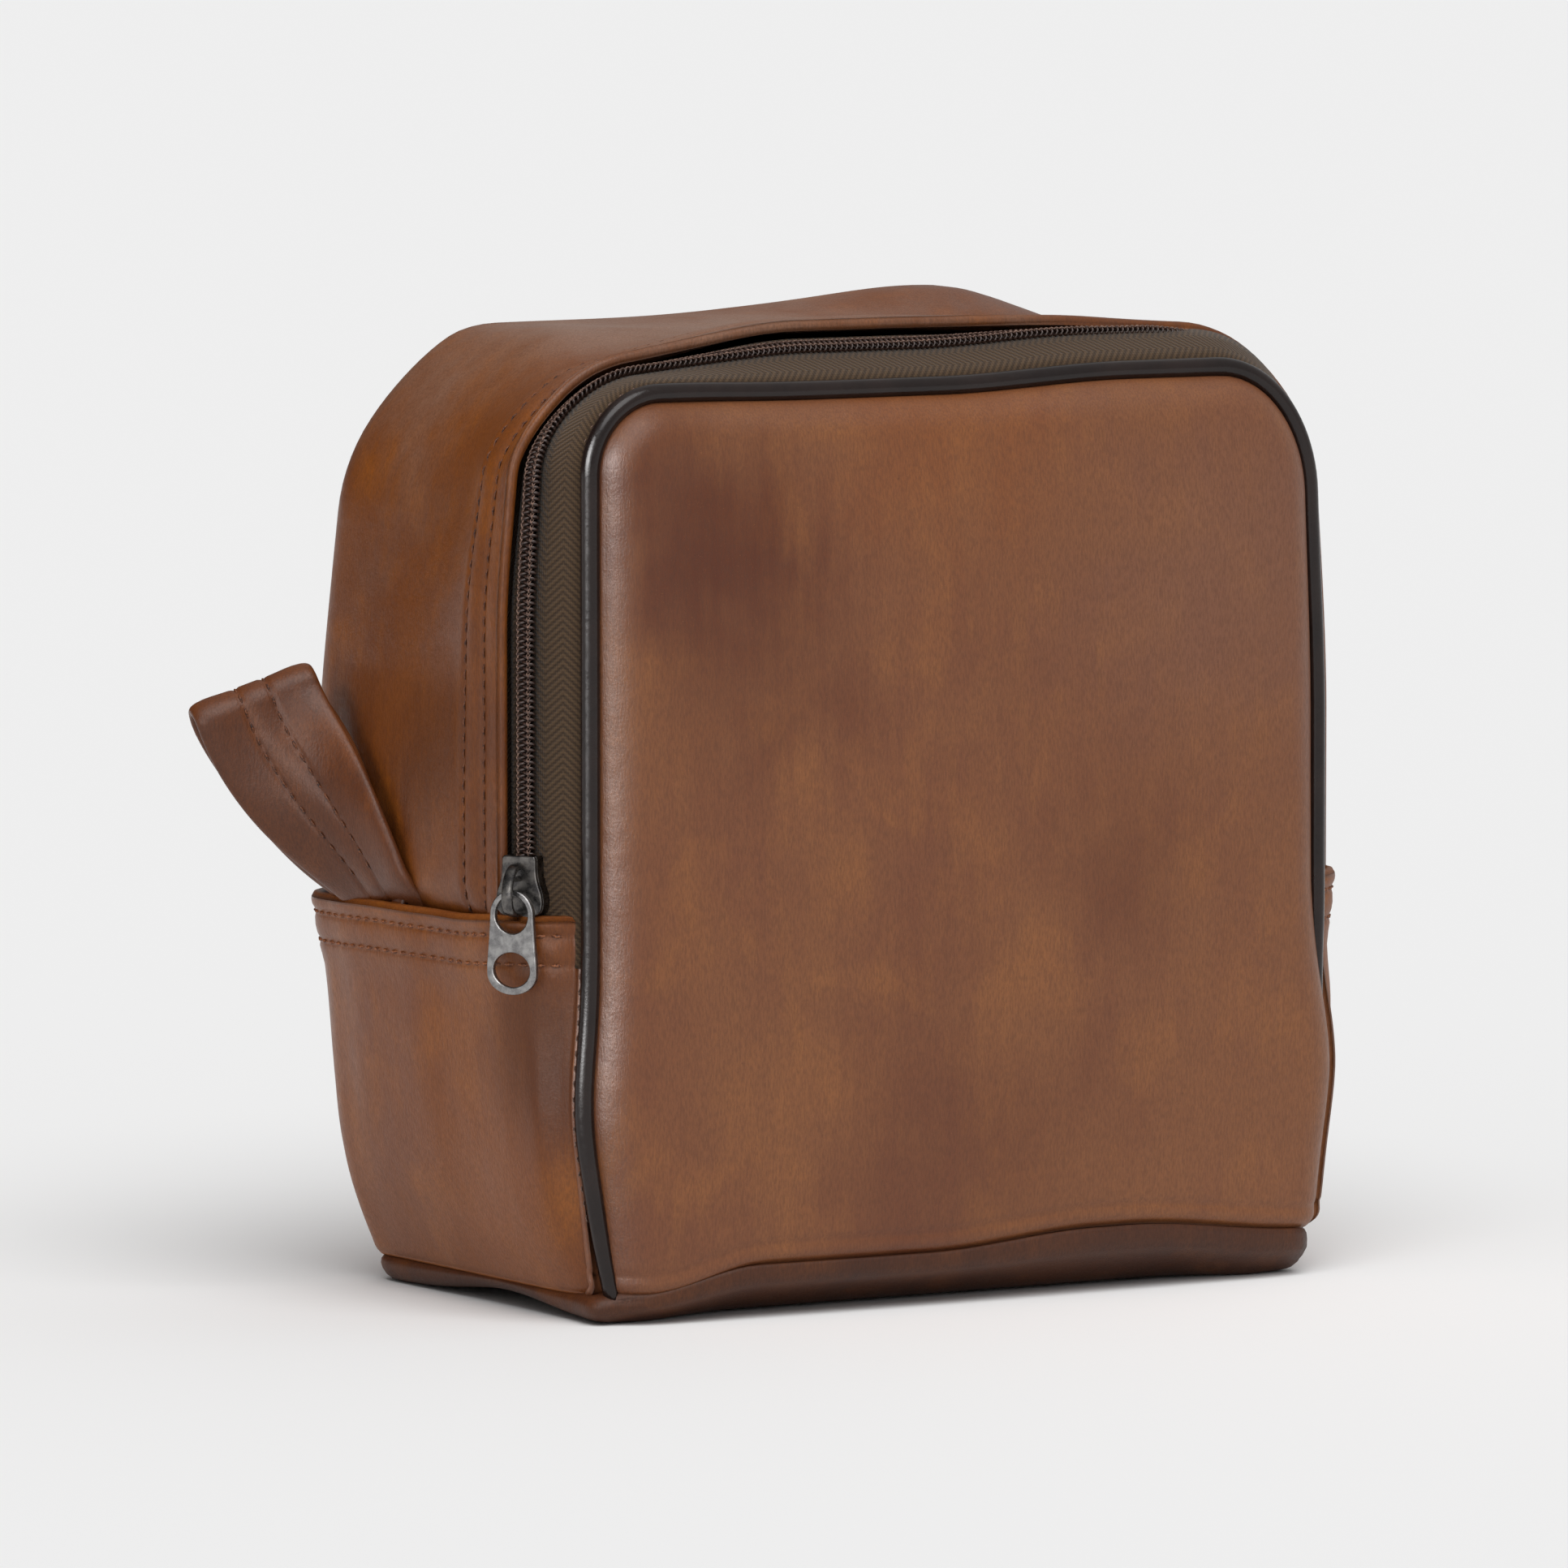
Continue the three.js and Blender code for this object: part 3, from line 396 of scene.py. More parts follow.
def add_node(tree, kind, inputs, output=0, **settings):
    """Adds a node and gives back one of its outputs. Each input is a number, a vector or a socket."""
    node = tree.nodes.new("ShaderNode" + kind)
    for name, value in settings.items():
        setattr(node, name, value)
    for key, value in inputs.items():
        link(tree, value, node.inputs[key])
    return node.outputs[output]


def smooth_window(tree, value, low, high, to_low, to_high):
    inputs = {"Value": value, "From Min": low, "From Max": high, "To Min": to_low, "To Max": to_high}
    return add_node(tree, "MapRange", inputs, interpolation_type="SMOOTHSTEP")


LEATHER_ROUGH, LEATHER_SPECULAR = 0.39, 0.34


class Shader:
    """A material under construction, with short calls for the nodes that it needs."""

    def __init__(self, name, roughness=0.5, metallic=0.0, specular=0.5):
        self.material = bpy.data.materials.new(name)
        self.material.use_nodes = True
        self.tree = self.material.node_tree
        self.principled = self.tree.nodes["Principled BSDF"]
        self.principled.inputs["Roughness"].default_value = roughness
        self.principled.inputs["Metallic"].default_value = metallic
        self.principled.inputs["Specular IOR Level"].default_value = specular

    def node(self, kind, inputs, output=0, **settings):
        return add_node(self.tree, kind, inputs, output, **settings)

    def attribute(self, name):
        return self.node("Attribute", {}, "Vector", attribute_name=name)

    def maths(self, operation, a, b=0.0):
        return self.node("Math", {0: a, 1: b}, operation=operation)

    def plus(self, a, b):
        return self.maths("ADD", a, b)

    def times(self, a, b):
        return self.maths("MULTIPLY", a, b)

    def minus(self, a, b):
        return self.maths("SUBTRACT", a, b)

    def wave(self, value, period):
        return self.maths("SINE", self.times(value, 2 * math.pi / period))

    def scaled(self, vector, factors):
        return self.node("VectorMath", {0: vector, 1: factors}, operation="MULTIPLY")

    def moved(self, vector, offset):
        return self.node("VectorMath", {0: vector, 1: offset}, operation="ADD")

    def distance(self, vector, place):
        return self.node("VectorMath", {0: vector, 1: place}, "Value", operation="DISTANCE")

    def noise(self, vector, scale, detail=3.0, roughness=0.55, distortion=0.0):
        inputs = {"Vector": vector, "Scale": scale, "Detail": detail}
        inputs.update({"Roughness": roughness, "Distortion": distortion})
        return self.node("TexNoise", inputs, "Fac")

    def cells(self, vector, scale):
        return self.node("TexVoronoi", {"Vector": vector, "Scale": scale}, "Distance", feature="F1")

    def window(self, value, low, high, to_low=0.0, to_high=1.0):
        return smooth_window(self.tree, value, low, high, to_low, to_high)

    def blend(self, factor, a, b):
        return self.node("Mix", {0: factor, 6: a, 7: b}, 2, data_type="RGBA")

    def colour(self, value):
        link(self.tree, value, self.principled.inputs["Base Color"])

    def roughness(self, value):
        link(self.tree, value, self.principled.inputs["Roughness"])

    def bump(self, height, distance, after=None):
        """Adds a bump, in millimetres, on top of an earlier one."""
        inputs = {"Distance": distance * MM, "Height": height}
        if after is not None:
            inputs["Normal"] = after
        normal = self.node("Bump", inputs)
        link(self.tree, normal, self.principled.inputs["Normal"])
        return normal


def pull_up_leather(name, light, middle, dark, shift=0.0, rough=LEATHER_ROUGH, painted_light_and_tone_clouds=()):
    """Waxed leather: soft light and dark clouds, upright fibres, fine pores and a dull shine.

    The shift moves the pattern along. Each named cloud is a place, a radius, an amount and a colour. The
    clouds paint shade, a cast shadow or a sheen at set places, or add tone.
    """
    s = Shader(name, specular=LEATHER_SPECULAR)
    rest = s.moved(s.attribute("rest"), (shift, 0, shift * 0.6))
    broad = s.noise(s.scaled(rest, (1, 1, 0.8)), 0.013, 2.0, 0.5, 0.2)
    cloud = s.noise(s.scaled(rest, (1, 1, 0.8)), 0.034, 3.0, 0.55, 0.3)
    upright = s.noise(s.scaled(rest, (1, 1, 0.10)), 0.35, 3.0, 0.6, 0.1)
    fibre = s.noise(s.scaled(rest, (1, 1, 0.24)), 2.7, 3.0, 0.66)
    tone = s.plus(s.times(broad, 0.5), s.times(cloud, 0.5))
    tone = s.plus(tone, s.times(s.minus(upright, 0.5), 0.16))
    base = s.blend(s.window(tone, 0.26, 0.66), dark, middle)
    warm = s.noise(s.scaled(rest, (1, 1, 0.85)), 0.055, 3.0, 0.55, 0.5)
    warm = s.plus(warm, s.times(s.minus(upright, 0.5), 0.3))
    base = s.blend(s.window(warm, 0.44, 0.84, 0.0, 0.7), base, light)
    # Placed clouds: painted shade, painted shadow or painted sheen at a set place, and some leather tone.
    for place, radius, amount, tint in painted_light_and_tone_clouds:
        ragged = s.times(s.minus(tone, 0.48), radius * 3.2)
        distance = s.plus(s.distance(s.attribute("rest"), place), ragged)
        base = s.blend(s.window(distance, radius * 0.1, radius * 1.6, amount, 0.0), base, tint)
    deep = tuple(c * 0.42 for c in dark[:3]) + (1.0,)
    base = s.blend(s.window(fibre, 0.34, 0.70, 0.0, 0.42), base, deep)
    pale = tuple(min(1, c * 1.7) for c in light[:3]) + (1.0,)
    base = s.blend(s.window(s.noise(rest, 3.1, 2.0, 0.6), 0.64, 0.80, 0.0, 0.25), base, pale)
    s.colour(s.blend(s.window(s.cells(rest, 0.13), 0.0, 0.045, 0.5, 0.0), base, deep))
    shine = s.plus(s.times(cloud, 0.5), s.times(fibre, 0.5))
    s.roughness(s.window(shine, 0.32, 0.68, rough - 0.06, rough + 0.09))
    soft = s.bump(s.noise(rest, 0.09, 3.0, 0.5), 0.35)
    grain = s.bump(s.plus(s.times(fibre, 0.9), s.times(s.cells(rest, 1.7), 0.3)), 0.07, after=soft)
    s.bump(s.noise(rest, 4.4, 2.0, 0.6), 0.025, after=grain)
    return s.material


def piping_leather():
    s = Shader("piping_dark", specular=0.36)
    rest = s.attribute("rest")
    cloud = s.noise(rest, 0.09, 3.0)
    s.colour(s.blend(s.window(cloud, 0.3, 0.7), linear(24, 15, 13), linear(34, 23, 20)))
    s.roughness(s.window(s.noise(rest, 0.8, 3.0), 0.3, 0.7, 0.17, 0.27))
    s.bump(s.noise(rest, 1.8, 3.0), 0.02)
    return s.material


def herringbone_tape():
    """Woven zip tape: slanting ribs whose slant turns over from one column to the next."""
    s = Shader("zip_tape", roughness=0.86, specular=0.2)
    along, across = [s.node("SeparateXYZ", {0: s.attribute("flow")}, axis) for axis in "XY"]
    column_width, rib_pitch, yarn_pitch, cross_pitch = 4.2, 1.5, 0.5, 0.62
    fold = s.maths("PINGPONG", s.maths("DIVIDE", across, column_width), 1.0)
    rib = s.wave(s.plus(along, s.times(fold, column_width * 0.8)), rib_pitch)
    threads = s.times(s.plus(s.wave(across, yarn_pitch), s.wave(along, cross_pitch)), 0.09)
    weave = s.plus(s.plus(s.times(rib, 0.26), threads), 0.5)
    fuzz = s.noise(s.attribute("rest"), 1.7, 3.0, 0.7)
    base = s.blend(s.window(weave, 0.15, 0.9), linear(52, 38, 25), linear(86, 66, 46))
    s.colour(s.blend(s.window(fuzz, 0.35, 0.75, 0.0, 0.4), base, linear(70, 54, 40)))
    first = s.bump(weave, 0.24)
    s.bump(fuzz, 0.10, after=first)
    s.principled.inputs["Sheen Weight"].default_value = 0.12
    s.principled.inputs["Sheen Roughness"].default_value = 0.5
    return s.material


def thread(name, light, dark):
    s = Shader(name, roughness=0.55, specular=0.35)
    rest = s.attribute("rest")
    s.colour(s.blend(s.window(s.noise(rest, 2.4, 2.0), 0.35, 0.65), dark, light))
    s.bump(s.noise(rest, 5.0, 2.0), 0.05)
    return s.material


def nylon():
    s = Shader("zip_coil", roughness=0.3, specular=0.55)
    rest = s.attribute("rest")
    s.colour(s.blend(s.noise(rest, 0.4, 2.0), linear(44, 29, 24), linear(66, 46, 38)))
    s.bump(s.noise(rest, 3.0, 2.0), 0.02)
    return s.material


def plated(name, light, dark, rough_low):
    """Plated metal with fine brushing and a little rubbed wear."""
    s = Shader(name, metallic=1.0)
    rest = s.attribute("rest")
    wear = s.noise(rest, 0.5, 4.0, 0.6)
    brushed = s.noise(s.scaled(rest, (0.25, 1.0, 6.0)), 1.6, 3.0, 0.7)
    s.colour(s.blend(s.window(wear, 0.35, 0.7), dark, light))
    s.roughness(s.window(s.plus(s.times(wear, 0.5), s.times(brushed, 0.5)), 0.3, 0.7, rough_low, 0.38))
    s.bump(brushed, 0.012)
    return s.material


def twill_lining():
    s = Shader("lining_cloth", roughness=0.9, specular=0.15)
    rest = s.attribute("rest")
    x, y, z = [s.node("SeparateXYZ", {0: rest}, axis) for axis in "XYZ"]
    rib = s.wave(s.plus(s.plus(x, y), z), 1.1)
    fuzz = s.noise(rest, 1.2, 3.0)
    base = s.blend(s.window(rib, -0.8, 0.9), linear(60, 48, 38), linear(86, 70, 56))
    s.colour(s.blend(s.window(fuzz, 0.3, 0.7, 0, 0.4), base, linear(66, 54, 44)))
    s.bump(rib, 0.12)
    return s.material


def fibreboard():
    s = Shader("stiffener_board", roughness=0.92, specular=0.2)
    flecks = s.noise(s.node("TexCoord", {}, "Object"), 900.0, 3.0)
    s.colour(s.blend(flecks, linear(120, 110, 94), linear(92, 82, 68)))
    s.bump(flecks, 0.05)
    return s.material


# Cloud colours. The purple-brown is also painted shade on the front panel's upper left; the grey-brown is a
# painted sheen.
PURPLE_BROWN, PAINTED_SHEEN_GREY, ORANGE_BROWN = linear(80, 33, 14), linear(124, 84, 64), linear(136, 76, 30)
FRONT_LEATHER = pull_up_leather(
    "leather_front", linear(146, 92, 50), linear(128, 80, 48), linear(116, 69, 45),
    painted_light_and_tone_clouds=[
        # Painted shade: the two dark purple-brown clouds on the upper left stand for the shading of the dip
        # beside the left roll.
        ((-66, -52, 164), 24, 0.7, PURPLE_BROWN), ((-56, -54, 138), 24, 0.6, PURPLE_BROWN),
        # Painted sheen: the grey cloud on the upper right stands for the studio's reflection there. The
        # purple-brown clouds in the middle and at the bottom, and the orange cloud at the top, darken or warm
        # those places.
        ((58, -52, 150), 34, 0.5, PAINTED_SHEEN_GREY), ((34, -55, 88), 18, 0.35, PURPLE_BROWN),
        ((-6, -52, 178), 24, 0.4, ORANGE_BROWN), ((0, -55, 24), 40, 0.3, PURPLE_BROWN),
    ],
)
GUSSET_LEATHER = pull_up_leather(
    "leather_gusset", linear(140, 78, 20), linear(112, 60, 20), linear(90, 46, 20), 71, 0.37,
    # Painted sheen: the pale pinkish-grey cloud over the top left stands for the shine of the top seen at a
    # low angle. Painted shadow: the dark cloud on the left side beside the strap is the strap's cast shadow.
    painted_light_and_tone_clouds=[((-30, 0, 208), 62, 0.75, linear(142, 108, 88)), ((-102, -8, 112), 17, 0.5, linear(56, 26, 10))],
)
SKIRT_LEATHER = pull_up_leather(
    "leather_skirt", linear(146, 84, 24), linear(126, 70, 24), linear(108, 56, 23), 163,
    # Painted shade: the dark cloud at the front of the skirt's left side stands for the shade beside its
    # bulge. The orange cloud lower down warms that part.
    painted_light_and_tone_clouds=[((-97, -42, 54), 17, 0.65, linear(66, 32, 14)), ((-94, -20, 20), 22, 0.5, ORANGE_BROWN)],
)
BASE_LEATHER = pull_up_leather(
    "leather_base", linear(102, 56, 22), linear(82, 43, 19), linear(62, 31, 15), 240, 0.48,
)
STRAP_LEATHER = pull_up_leather(
    "leather_strap", linear(122, 68, 30), linear(100, 54, 26), linear(80, 42, 22), 317,
)
PIPING = piping_leather()
TAPE = herringbone_tape()
COIL = nylon()
DARK_THREAD = thread("thread_dark", linear(116, 68, 40), linear(52, 27, 17))
BROWN_THREAD = thread("thread_brown", linear(150, 92, 56), linear(78, 40, 24))
ZIP_THREAD = thread("thread_zip", linear(136, 108, 94), linear(70, 50, 42))
GUNMETAL = plated("slider_gunmetal", linear(118, 114, 110), linear(74, 72, 72), 0.22)
PULL_GREY = plated("pull_tab_grey", linear(166, 164, 162), linear(126, 124, 124), 0.24)
LINING = twill_lining()

# Each kind of stitch: pitch, length, radius of the thread, material and lift
GUSSET_STITCH = (3.2, 2.6, 0.23, DARK_THREAD, 0.08)
PIPING_STITCH = (3.1, 1.5, 0.17, ZIP_THREAD, 0.1)
SKIRT_STITCH = (3.5, 3.2, 0.33, BROWN_THREAD, 0.02)
STRAP_STITCH = (3.3, 2.9, 0.24, DARK_THREAD, 0.03)
ZIP_STITCH = (COIL_PITCH, 1.3, 0.15, ZIP_THREAD, 0.1)


# ---- Gusset ----
GUSSET_FOLD_Y = GUSSET_EDGE_Y - 2.0      # the soft folded edge comes forward to the chain
GUSSET_ROWS_Y = (GUSSET_FOLD_Y + 5.6, GUSSET_FOLD_Y + 5.6 + STITCH_GAUGE)
GUSSET_STAND = 1.6            # how far the leather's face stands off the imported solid's outline
STRAP_BUMP = 1.2


def strap_bump(y, z):
    return STRAP_BUMP * np.exp(-(((y - STRAP_Y) / 18) ** 6)) * ramp((92 - z) / 10)


def gusset_lift(y):
    """How far the gusset's face stands off its plain outline: puffed folds with two sewn grooves."""
    groove = sum(0.5 * bell(y - row, 0.8) for row in GUSSET_ROWS_Y)
    puff = 0.45 * bell(y - GUSSET_FOLD_Y - 2.2, 2.4) + 0.25 * bell(y - sum(GUSSET_ROWS_Y) / 2, 2.0)
    stand = GUSSET_STAND * mix(0.4, 1, ramp((y - GUSSET_EDGE_Y) / 10))
    return stand + puff - groove - 0.5 * ramp((y - GUSSET_ROWS_Y[1] - 1) / 3)


def body_corners(y):
    """Left and right radius of the body's top corners at a depth y."""
    return mix(np.array([BODY_CORNER, BODY_CORNER + RIGHT_ROUNDER]), BODY_BACK_CORNER, ramp((y + 25) / 40))


def gusset_surface(y, inset, lift):
    """One line of the gusset at a depth y, inset from the full outline and lifted off it."""
    heights = spaced([GUSSET_END_Z, 82, 92, BODY_TOP - BODY_CORNER], 3.0)
    places, outs = arch(BODY_HALF - inset, BODY_TOP - inset, body_corners(y) - inset, heights, 20, 56)
    line = stack(places[:, 0] + outs[:, 0] * lift, y, places[:, 1] + outs[:, 1] * lift)
    line[:, 0] += np.where(line[:, 0] < 0, strap_bump(y, line[:, 2]), 0)
    return line, outs


def gusset_depths():
    """(y, inset, lift) of each line, from the folded front edge to the seam at the back."""
    near = spaced([GUSSET_FOLD_Y, GUSSET_FOLD_Y + 3.6], 0.6)
    rows = [y + d for y in GUSSET_ROWS_Y for d in (-1.5, -0.75, -0.35, 0, 0.35, 0.75, 1.5)]
    flat = spaced([GUSSET_ROWS_Y[1] + 3.5, BACK_ROLL_Y], 3.0)
    depths = sorted([*near, *rows, sum(GUSSET_ROWS_Y) / 2, *flat])
    result = [(y, 0.0, float(gusset_lift(y))) for y in depths]
    for angle in np.radians(np.linspace(0, BACK_ROLL_DEGREES, 13)[1:]):
        y = BACK_ROLL_Y + (BACK_ROLL + GUSSET_STAND) * math.sin(angle)
        result.append((y, BACK_ROLL * (1 - math.cos(angle)), GUSSET_STAND * math.cos(angle) - 0.5))
    return result


def make_gusset():
    lines, flows = [], []
    depths = gusset_depths()
    for y, inset, lift in depths:
        line, _ = gusset_surface(y, inset, lift)
        lines.append(line)
        length = run_length(line[:, [0, 2]])
        flows.append(stack(length - length[-1] / 2, y, 0))
    grid = settle(np.array(lines))
    thickness = 2.3 - 0.7 * ramp((np.array([d[0] for d in depths]) + 20) / 6)[:, None]
    piece = leather_sheet("leather_gusset", grid, thickness, GUSSET_LEATHER, 1.0, np.array(flows))
    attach(piece, "root")
    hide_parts("upper_gusset")
    for number, row in enumerate(GUSSET_ROWS_Y):
        line, outs = gusset_surface(row, 0.0, float(gusset_lift(row)))
        keep = line[:, 2] > SKIRT_TOP - 1
        line, ups = settle(line[keep]), stack(outs[:, 0], 0, outs[:, 1])[keep]
        sewn = stitches(f"gusset_stitches_{number + 1}", line, ups, *GUSSET_STITCH)
        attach(sewn, "root")


# ---- Piping and panels share the outline of the front ----
FOOT_Z = 45.0
FOOT_IN_LEFT = 7.5            # how far the piping turns in at the bottom, left and right
FOOT_IN_RIGHT = 3.4


def foot(z):
    return (1 - np.clip(z / FOOT_Z, 0, 1)) ** 2


def piping_x(z, side):
    """How far out the piping runs at a height, on the left or the right."""
    left_turn, right_turn = FOOT_IN_LEFT * foot(z), FOOT_IN_RIGHT * foot(z) + 1.8 * ramp((80 - z) / 35)
    return PIPING_HALF + 1.6 * bell(z - FOOT_Z, 16) - np.where(np.asarray(side) < 0, left_turn, right_turn)


def panel_half(z, side):
    """Half width of the front panel. Low on the right its roll comes out over the piping."""
    flare = np.where(np.asarray(side) < 0, 2.4 * foot(z), 5.2 * ramp((84 - z) / 42))
    return piping_x(z, side) - PANEL_INSET + flare


def piping_y(z):
    return PIPING_Y + 2 * foot(z)


def front_seam_z(x):
    """Height of the seam between front and base: low at the left corner, arched in the middle."""
    return 6 + 5.4 * ramp((x + 80) / 28) + 2.8 * ramp((x + 12) / 40) - 4.2 * ramp((x - 36) / 50)


def outline_width(half, top, corner, z):
    """Half the width at a height, inside an outline with rounded top corners."""
    over = np.maximum(0, z - (top - corner))
    return half - corner + np.sqrt(np.maximum(0, corner**2 - over**2))


def outline_distance(half, top, corner, x, z):
    """How far in from that outline a place is."""
    dx = np.abs(x) - (half - corner)
    dz = z - (top - corner)
    return corner - np.hypot(np.maximum(dx, 0), np.maximum(dz, 0)) - np.minimum(np.maximum(dx, dz), 0)


def roll_depth(distance):
    """How far forward the front panel's face has come, at a distance in from its edge."""
    short = 1 - np.clip(distance / PANEL_ROLL_WIDTH, 0, 1)
    return PANEL_ROLL * np.sqrt(1 - short**2) + PANEL_SHOULDER * (1 - np.exp(-distance / 9))


def make_piping():
    heights = spaced([SEAM_Z - 1, FOLD_Z - 12, FOLD_Z + 12, PIPING_TOP - PIPING_CORNER], 1.8)
    corners = (PIPING_CORNER, PIPING_CORNER + RIGHT_ROUNDER)
    places, outs = arch(PIPING_HALF, PIPING_TOP, corners, heights, 22, 90)
    low = np.abs(places[:, 0]) > PIPING_HALF - 1e-6
    x = np.where(low, np.sign(places[:, 0]) * piping_x(places[:, 1], places[:, 0]), places[:, 0])
    line = settle(stack(x, piping_y(places[:, 1]), places[:, 1]))
    _, sides, ups = line_frames(line, stack(outs[:, 0], 0, outs[:, 1]))
    pinched = 1 - 0.35 * foot(places[:, 1])
    piece = swept("piping", line, sides, ups, circle(PIPING_R, 20), PIPING, pinched)
    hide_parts("piping_flap", "piping_lower_left", "piping_lower_right")
    fold_blend(piece)
    edge = line + ups * (PIPING_R * 0.75) + np.array([0, PIPING_R * 0.72, 0])
    ups = ups * 0.6 + np.array([0, 0.8, 0])
    fold_blend(stitches("piping_stitches", edge[8:-8], ups[8:-8], *PIPING_STITCH))
    return piece


def fold_blend(piece):
    """Bakes the piece's placement into its mesh."""
    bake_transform(piece)


def front_depth(x, z, half, edge):
    """The y of the front panel's face: rolled over at its edges and crowned in the middle."""
    crown = PANEL_CROWN * (1 - (x / half) ** 2) * np.clip(1 - ((z - FOLD_Z) / 112) ** 2, 0, 1)
    return PANEL_EDGE_Y + piping_y(z) - PIPING_Y - roll_depth(edge) - crown


def panel_corners(side):
    """Corner radius of the front panel, left and right."""
    return PIPING_CORNER - PANEL_INSET + np.where(side < 0, 0, RIGHT_ROUNDER)


def with_flange(grid, drop, width):
    """Adds a seam flange along both sides and the top of a panel, which goes on under the piping."""
    def beyond(edge, inner):
        out = (edge - inner) * np.array([1, 0, 1])
        return edge + unit(out) * width + drop
    left, right = beyond(grid[:, :1], grid[:, 1:2]), beyond(grid[:, -1:], grid[:, -2:-1])
    grid = np.concatenate([left, grid, right], axis=1)
    top = grid[-1:] + np.array([0, 0, width]) + drop
    top[:, 0], top[:, -1] = grid[-1, 0] + np.array([0, 0, 0.6]), grid[-1, -1] + np.array([0, 0, 0.6])
    return np.concatenate([grid, top])


def make_front():
    top = PIPING_TOP - PANEL_INSET
    shares = spaced([0, 0.012], 0.006)
    shares = np.concatenate([shares, spaced([0.02, 0.10], 0.0085), spaced([0.12, 0.5], 0.02)])
    shares = np.concatenate([shares, 1 - shares[-2::-1]]) * 2 - 1
    corner = panel_corners(shares)
    zones = ((0, 0.045, 0.0045), (0.055, 0.88, 0.012), (0.89, 0.97, 0.007), (0.975, 1.0, 0.0035))
    heights = np.concatenate([spaced([low, high], step) for low, high, step in zones])
    low = front_seam_z(shares * SEAM_HALF) - 0.4
    z = mix(low, top, heights[:, None])
    half = panel_half(z, shares)
    x = shares * outline_width(half, top, corner, z)
    edge = outline_distance(half, top, corner, x, z)
    seam = z - low
    valley = 1.3 * bell(x + 66, 10) * bell(z - 150, 42) + 0.8 * bell(z - 172, 9) * bell(x + 20, 60)
    tuck = 2.4 * (1 - np.clip(seam / 2.6, 0, 1)) ** 2 + 0.45 * bell(seam - 4.6, 0.7)
    grid = stack(x, front_depth(x, z, half, edge) + valley + tuck, z)
    grid[..., 1] -= 0.45 * wander(grid, 70, 11) * ramp((grid[..., 2] - 10) / 20)
    grid = with_flange(grid, np.array([0, 0.2, 0]), 2.3)
    flow = stack(grid[..., 0], grid[..., 2], 0)
    piece = leather_sheet("leather_front", settle(grid), 1.7, FRONT_LEATHER, 1.0, flow)
    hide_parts("front_panel_upper", "front_panel_lower")
    fold_blend(piece)
    return piece


def make_back():
    roll_end = math.radians(BACK_ROLL_DEGREES)
    inset = BACK_ROLL * (1 - math.cos(roll_end)) + 0.6
    half, top, corner = BODY_HALF - inset, BODY_TOP - inset, BODY_BACK_CORNER - inset
    edge_y = BACK_ROLL_Y + (BACK_ROLL + GUSSET_STAND) * math.sin(roll_end) - 0.5
    shares = spaced([0, 0.06, 0.5], 0.02)
    shares[:4] = [0, 0.008, 0.02, 0.04]
    shares = np.concatenate([shares, 1 - shares[-2::-1]]) * 2 - 1
    heights = np.concatenate([spaced([0, 0.92], 0.03), spaced([0.94, 1.0], 0.01)])
    z = mix(GUSSET_END_Z, top, heights[:, None])
    x = shares * outline_width(half, top, corner, z)
    edge = outline_distance(half, top, corner, x, z)
    y = edge_y + 1.1 * ramp(edge / 5) + 3.5 * (1 - (x / half) ** 2) * ramp((top - z) / 60)
    grid = stack(x, y, z)
    grid[..., 1] += 0.8 * wander(grid, 75, 17) * ramp((top - grid[..., 2]) / 25)
    grid[..., 1] -= 3.0 * ramp((83 - grid[..., 2]) / 9)
    flow = stack(grid[..., 0], grid[..., 2], 0)
    piece = leather_sheet("leather_back", settle(grid), 1.6, GUSSET_LEATHER, -1.0, flow)
    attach(piece, "root")
    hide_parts("back_panel")


# ---- Skirt ----
# Half its width at some heights: bellied below and flared above
SKIRT_HEIGHTS = (5.4, 12, 22, 34, 48, 65, 75, 82)
SKIRT_HALVES = (86.8, 90.2, 94.0, 96.9, 98.6, 100.2, 101.6, 102.9)


def skirt_half(z):
    return sum(np.interp(z + d, SKIRT_HEIGHTS, SKIRT_HALVES) for d in (-3, 0, 3)) / 3


def skirt_full(z):
    return 1 - (1 - np.clip((z - SEAM_Z) / (SKIRT_FULL_Z - SEAM_Z), 0, 1)) ** 2


def bezier(a, b, c, d, t):
    t = t[:, None]
    return (1 - t) ** 3 * a + 3 * (1 - t) ** 2 * t * b + 3 * (1 - t) * t**2 * c + t**3 * d


def skirt_side(z, side):
    """One half of the skirt's outline at one height, from the piping round to the middle of the back."""
    full = skirt_full(z)
    half = skirt_half(z) - (0.9 * ramp((z - 40) / 30) if side > 0 else 0)
    corner_y = mix(SEAM_BACK_Y - 9, BACK_ROLL_Y, full)
    corner = mix(9, BACK_ROLL + 2.6, full)
    edge = float(piping_x(z, side))
    start = np.array([edge + 1.5 - 0.9 * float(foot(z)), piping_y(z) + 1.9])
    second = np.array([mix(edge + 4, 95, full), mix(-43, -43.8, full)])
    third, end = np.array([half - 0.3, -37.5]), np.array([half, -28.0])
    front = bezier(start, second, third, end, np.linspace(0, 1, 15))
    ridge = bell(np.arange(15) - 7.0, 2.4) * bell(z - 42, 17)
    front = front + ridge[:, None] * np.array([0.75, -0.75])
    wall = stack(half, np.linspace(-28, corner_y, 24)[1:-1])
    angle = np.linspace(0, math.pi / 2, 13)
    turn = stack(half - corner + corner * np.cos(angle), corner_y + corner * np.sin(angle))
    share = np.linspace(1, 0, 24)[1:]
    back = stack(share * (half - corner), corner_y + corner + 3.5 * full * (1 - share**2))
    return np.concatenate([front, wall, turn, back]) * np.array([side, 1])


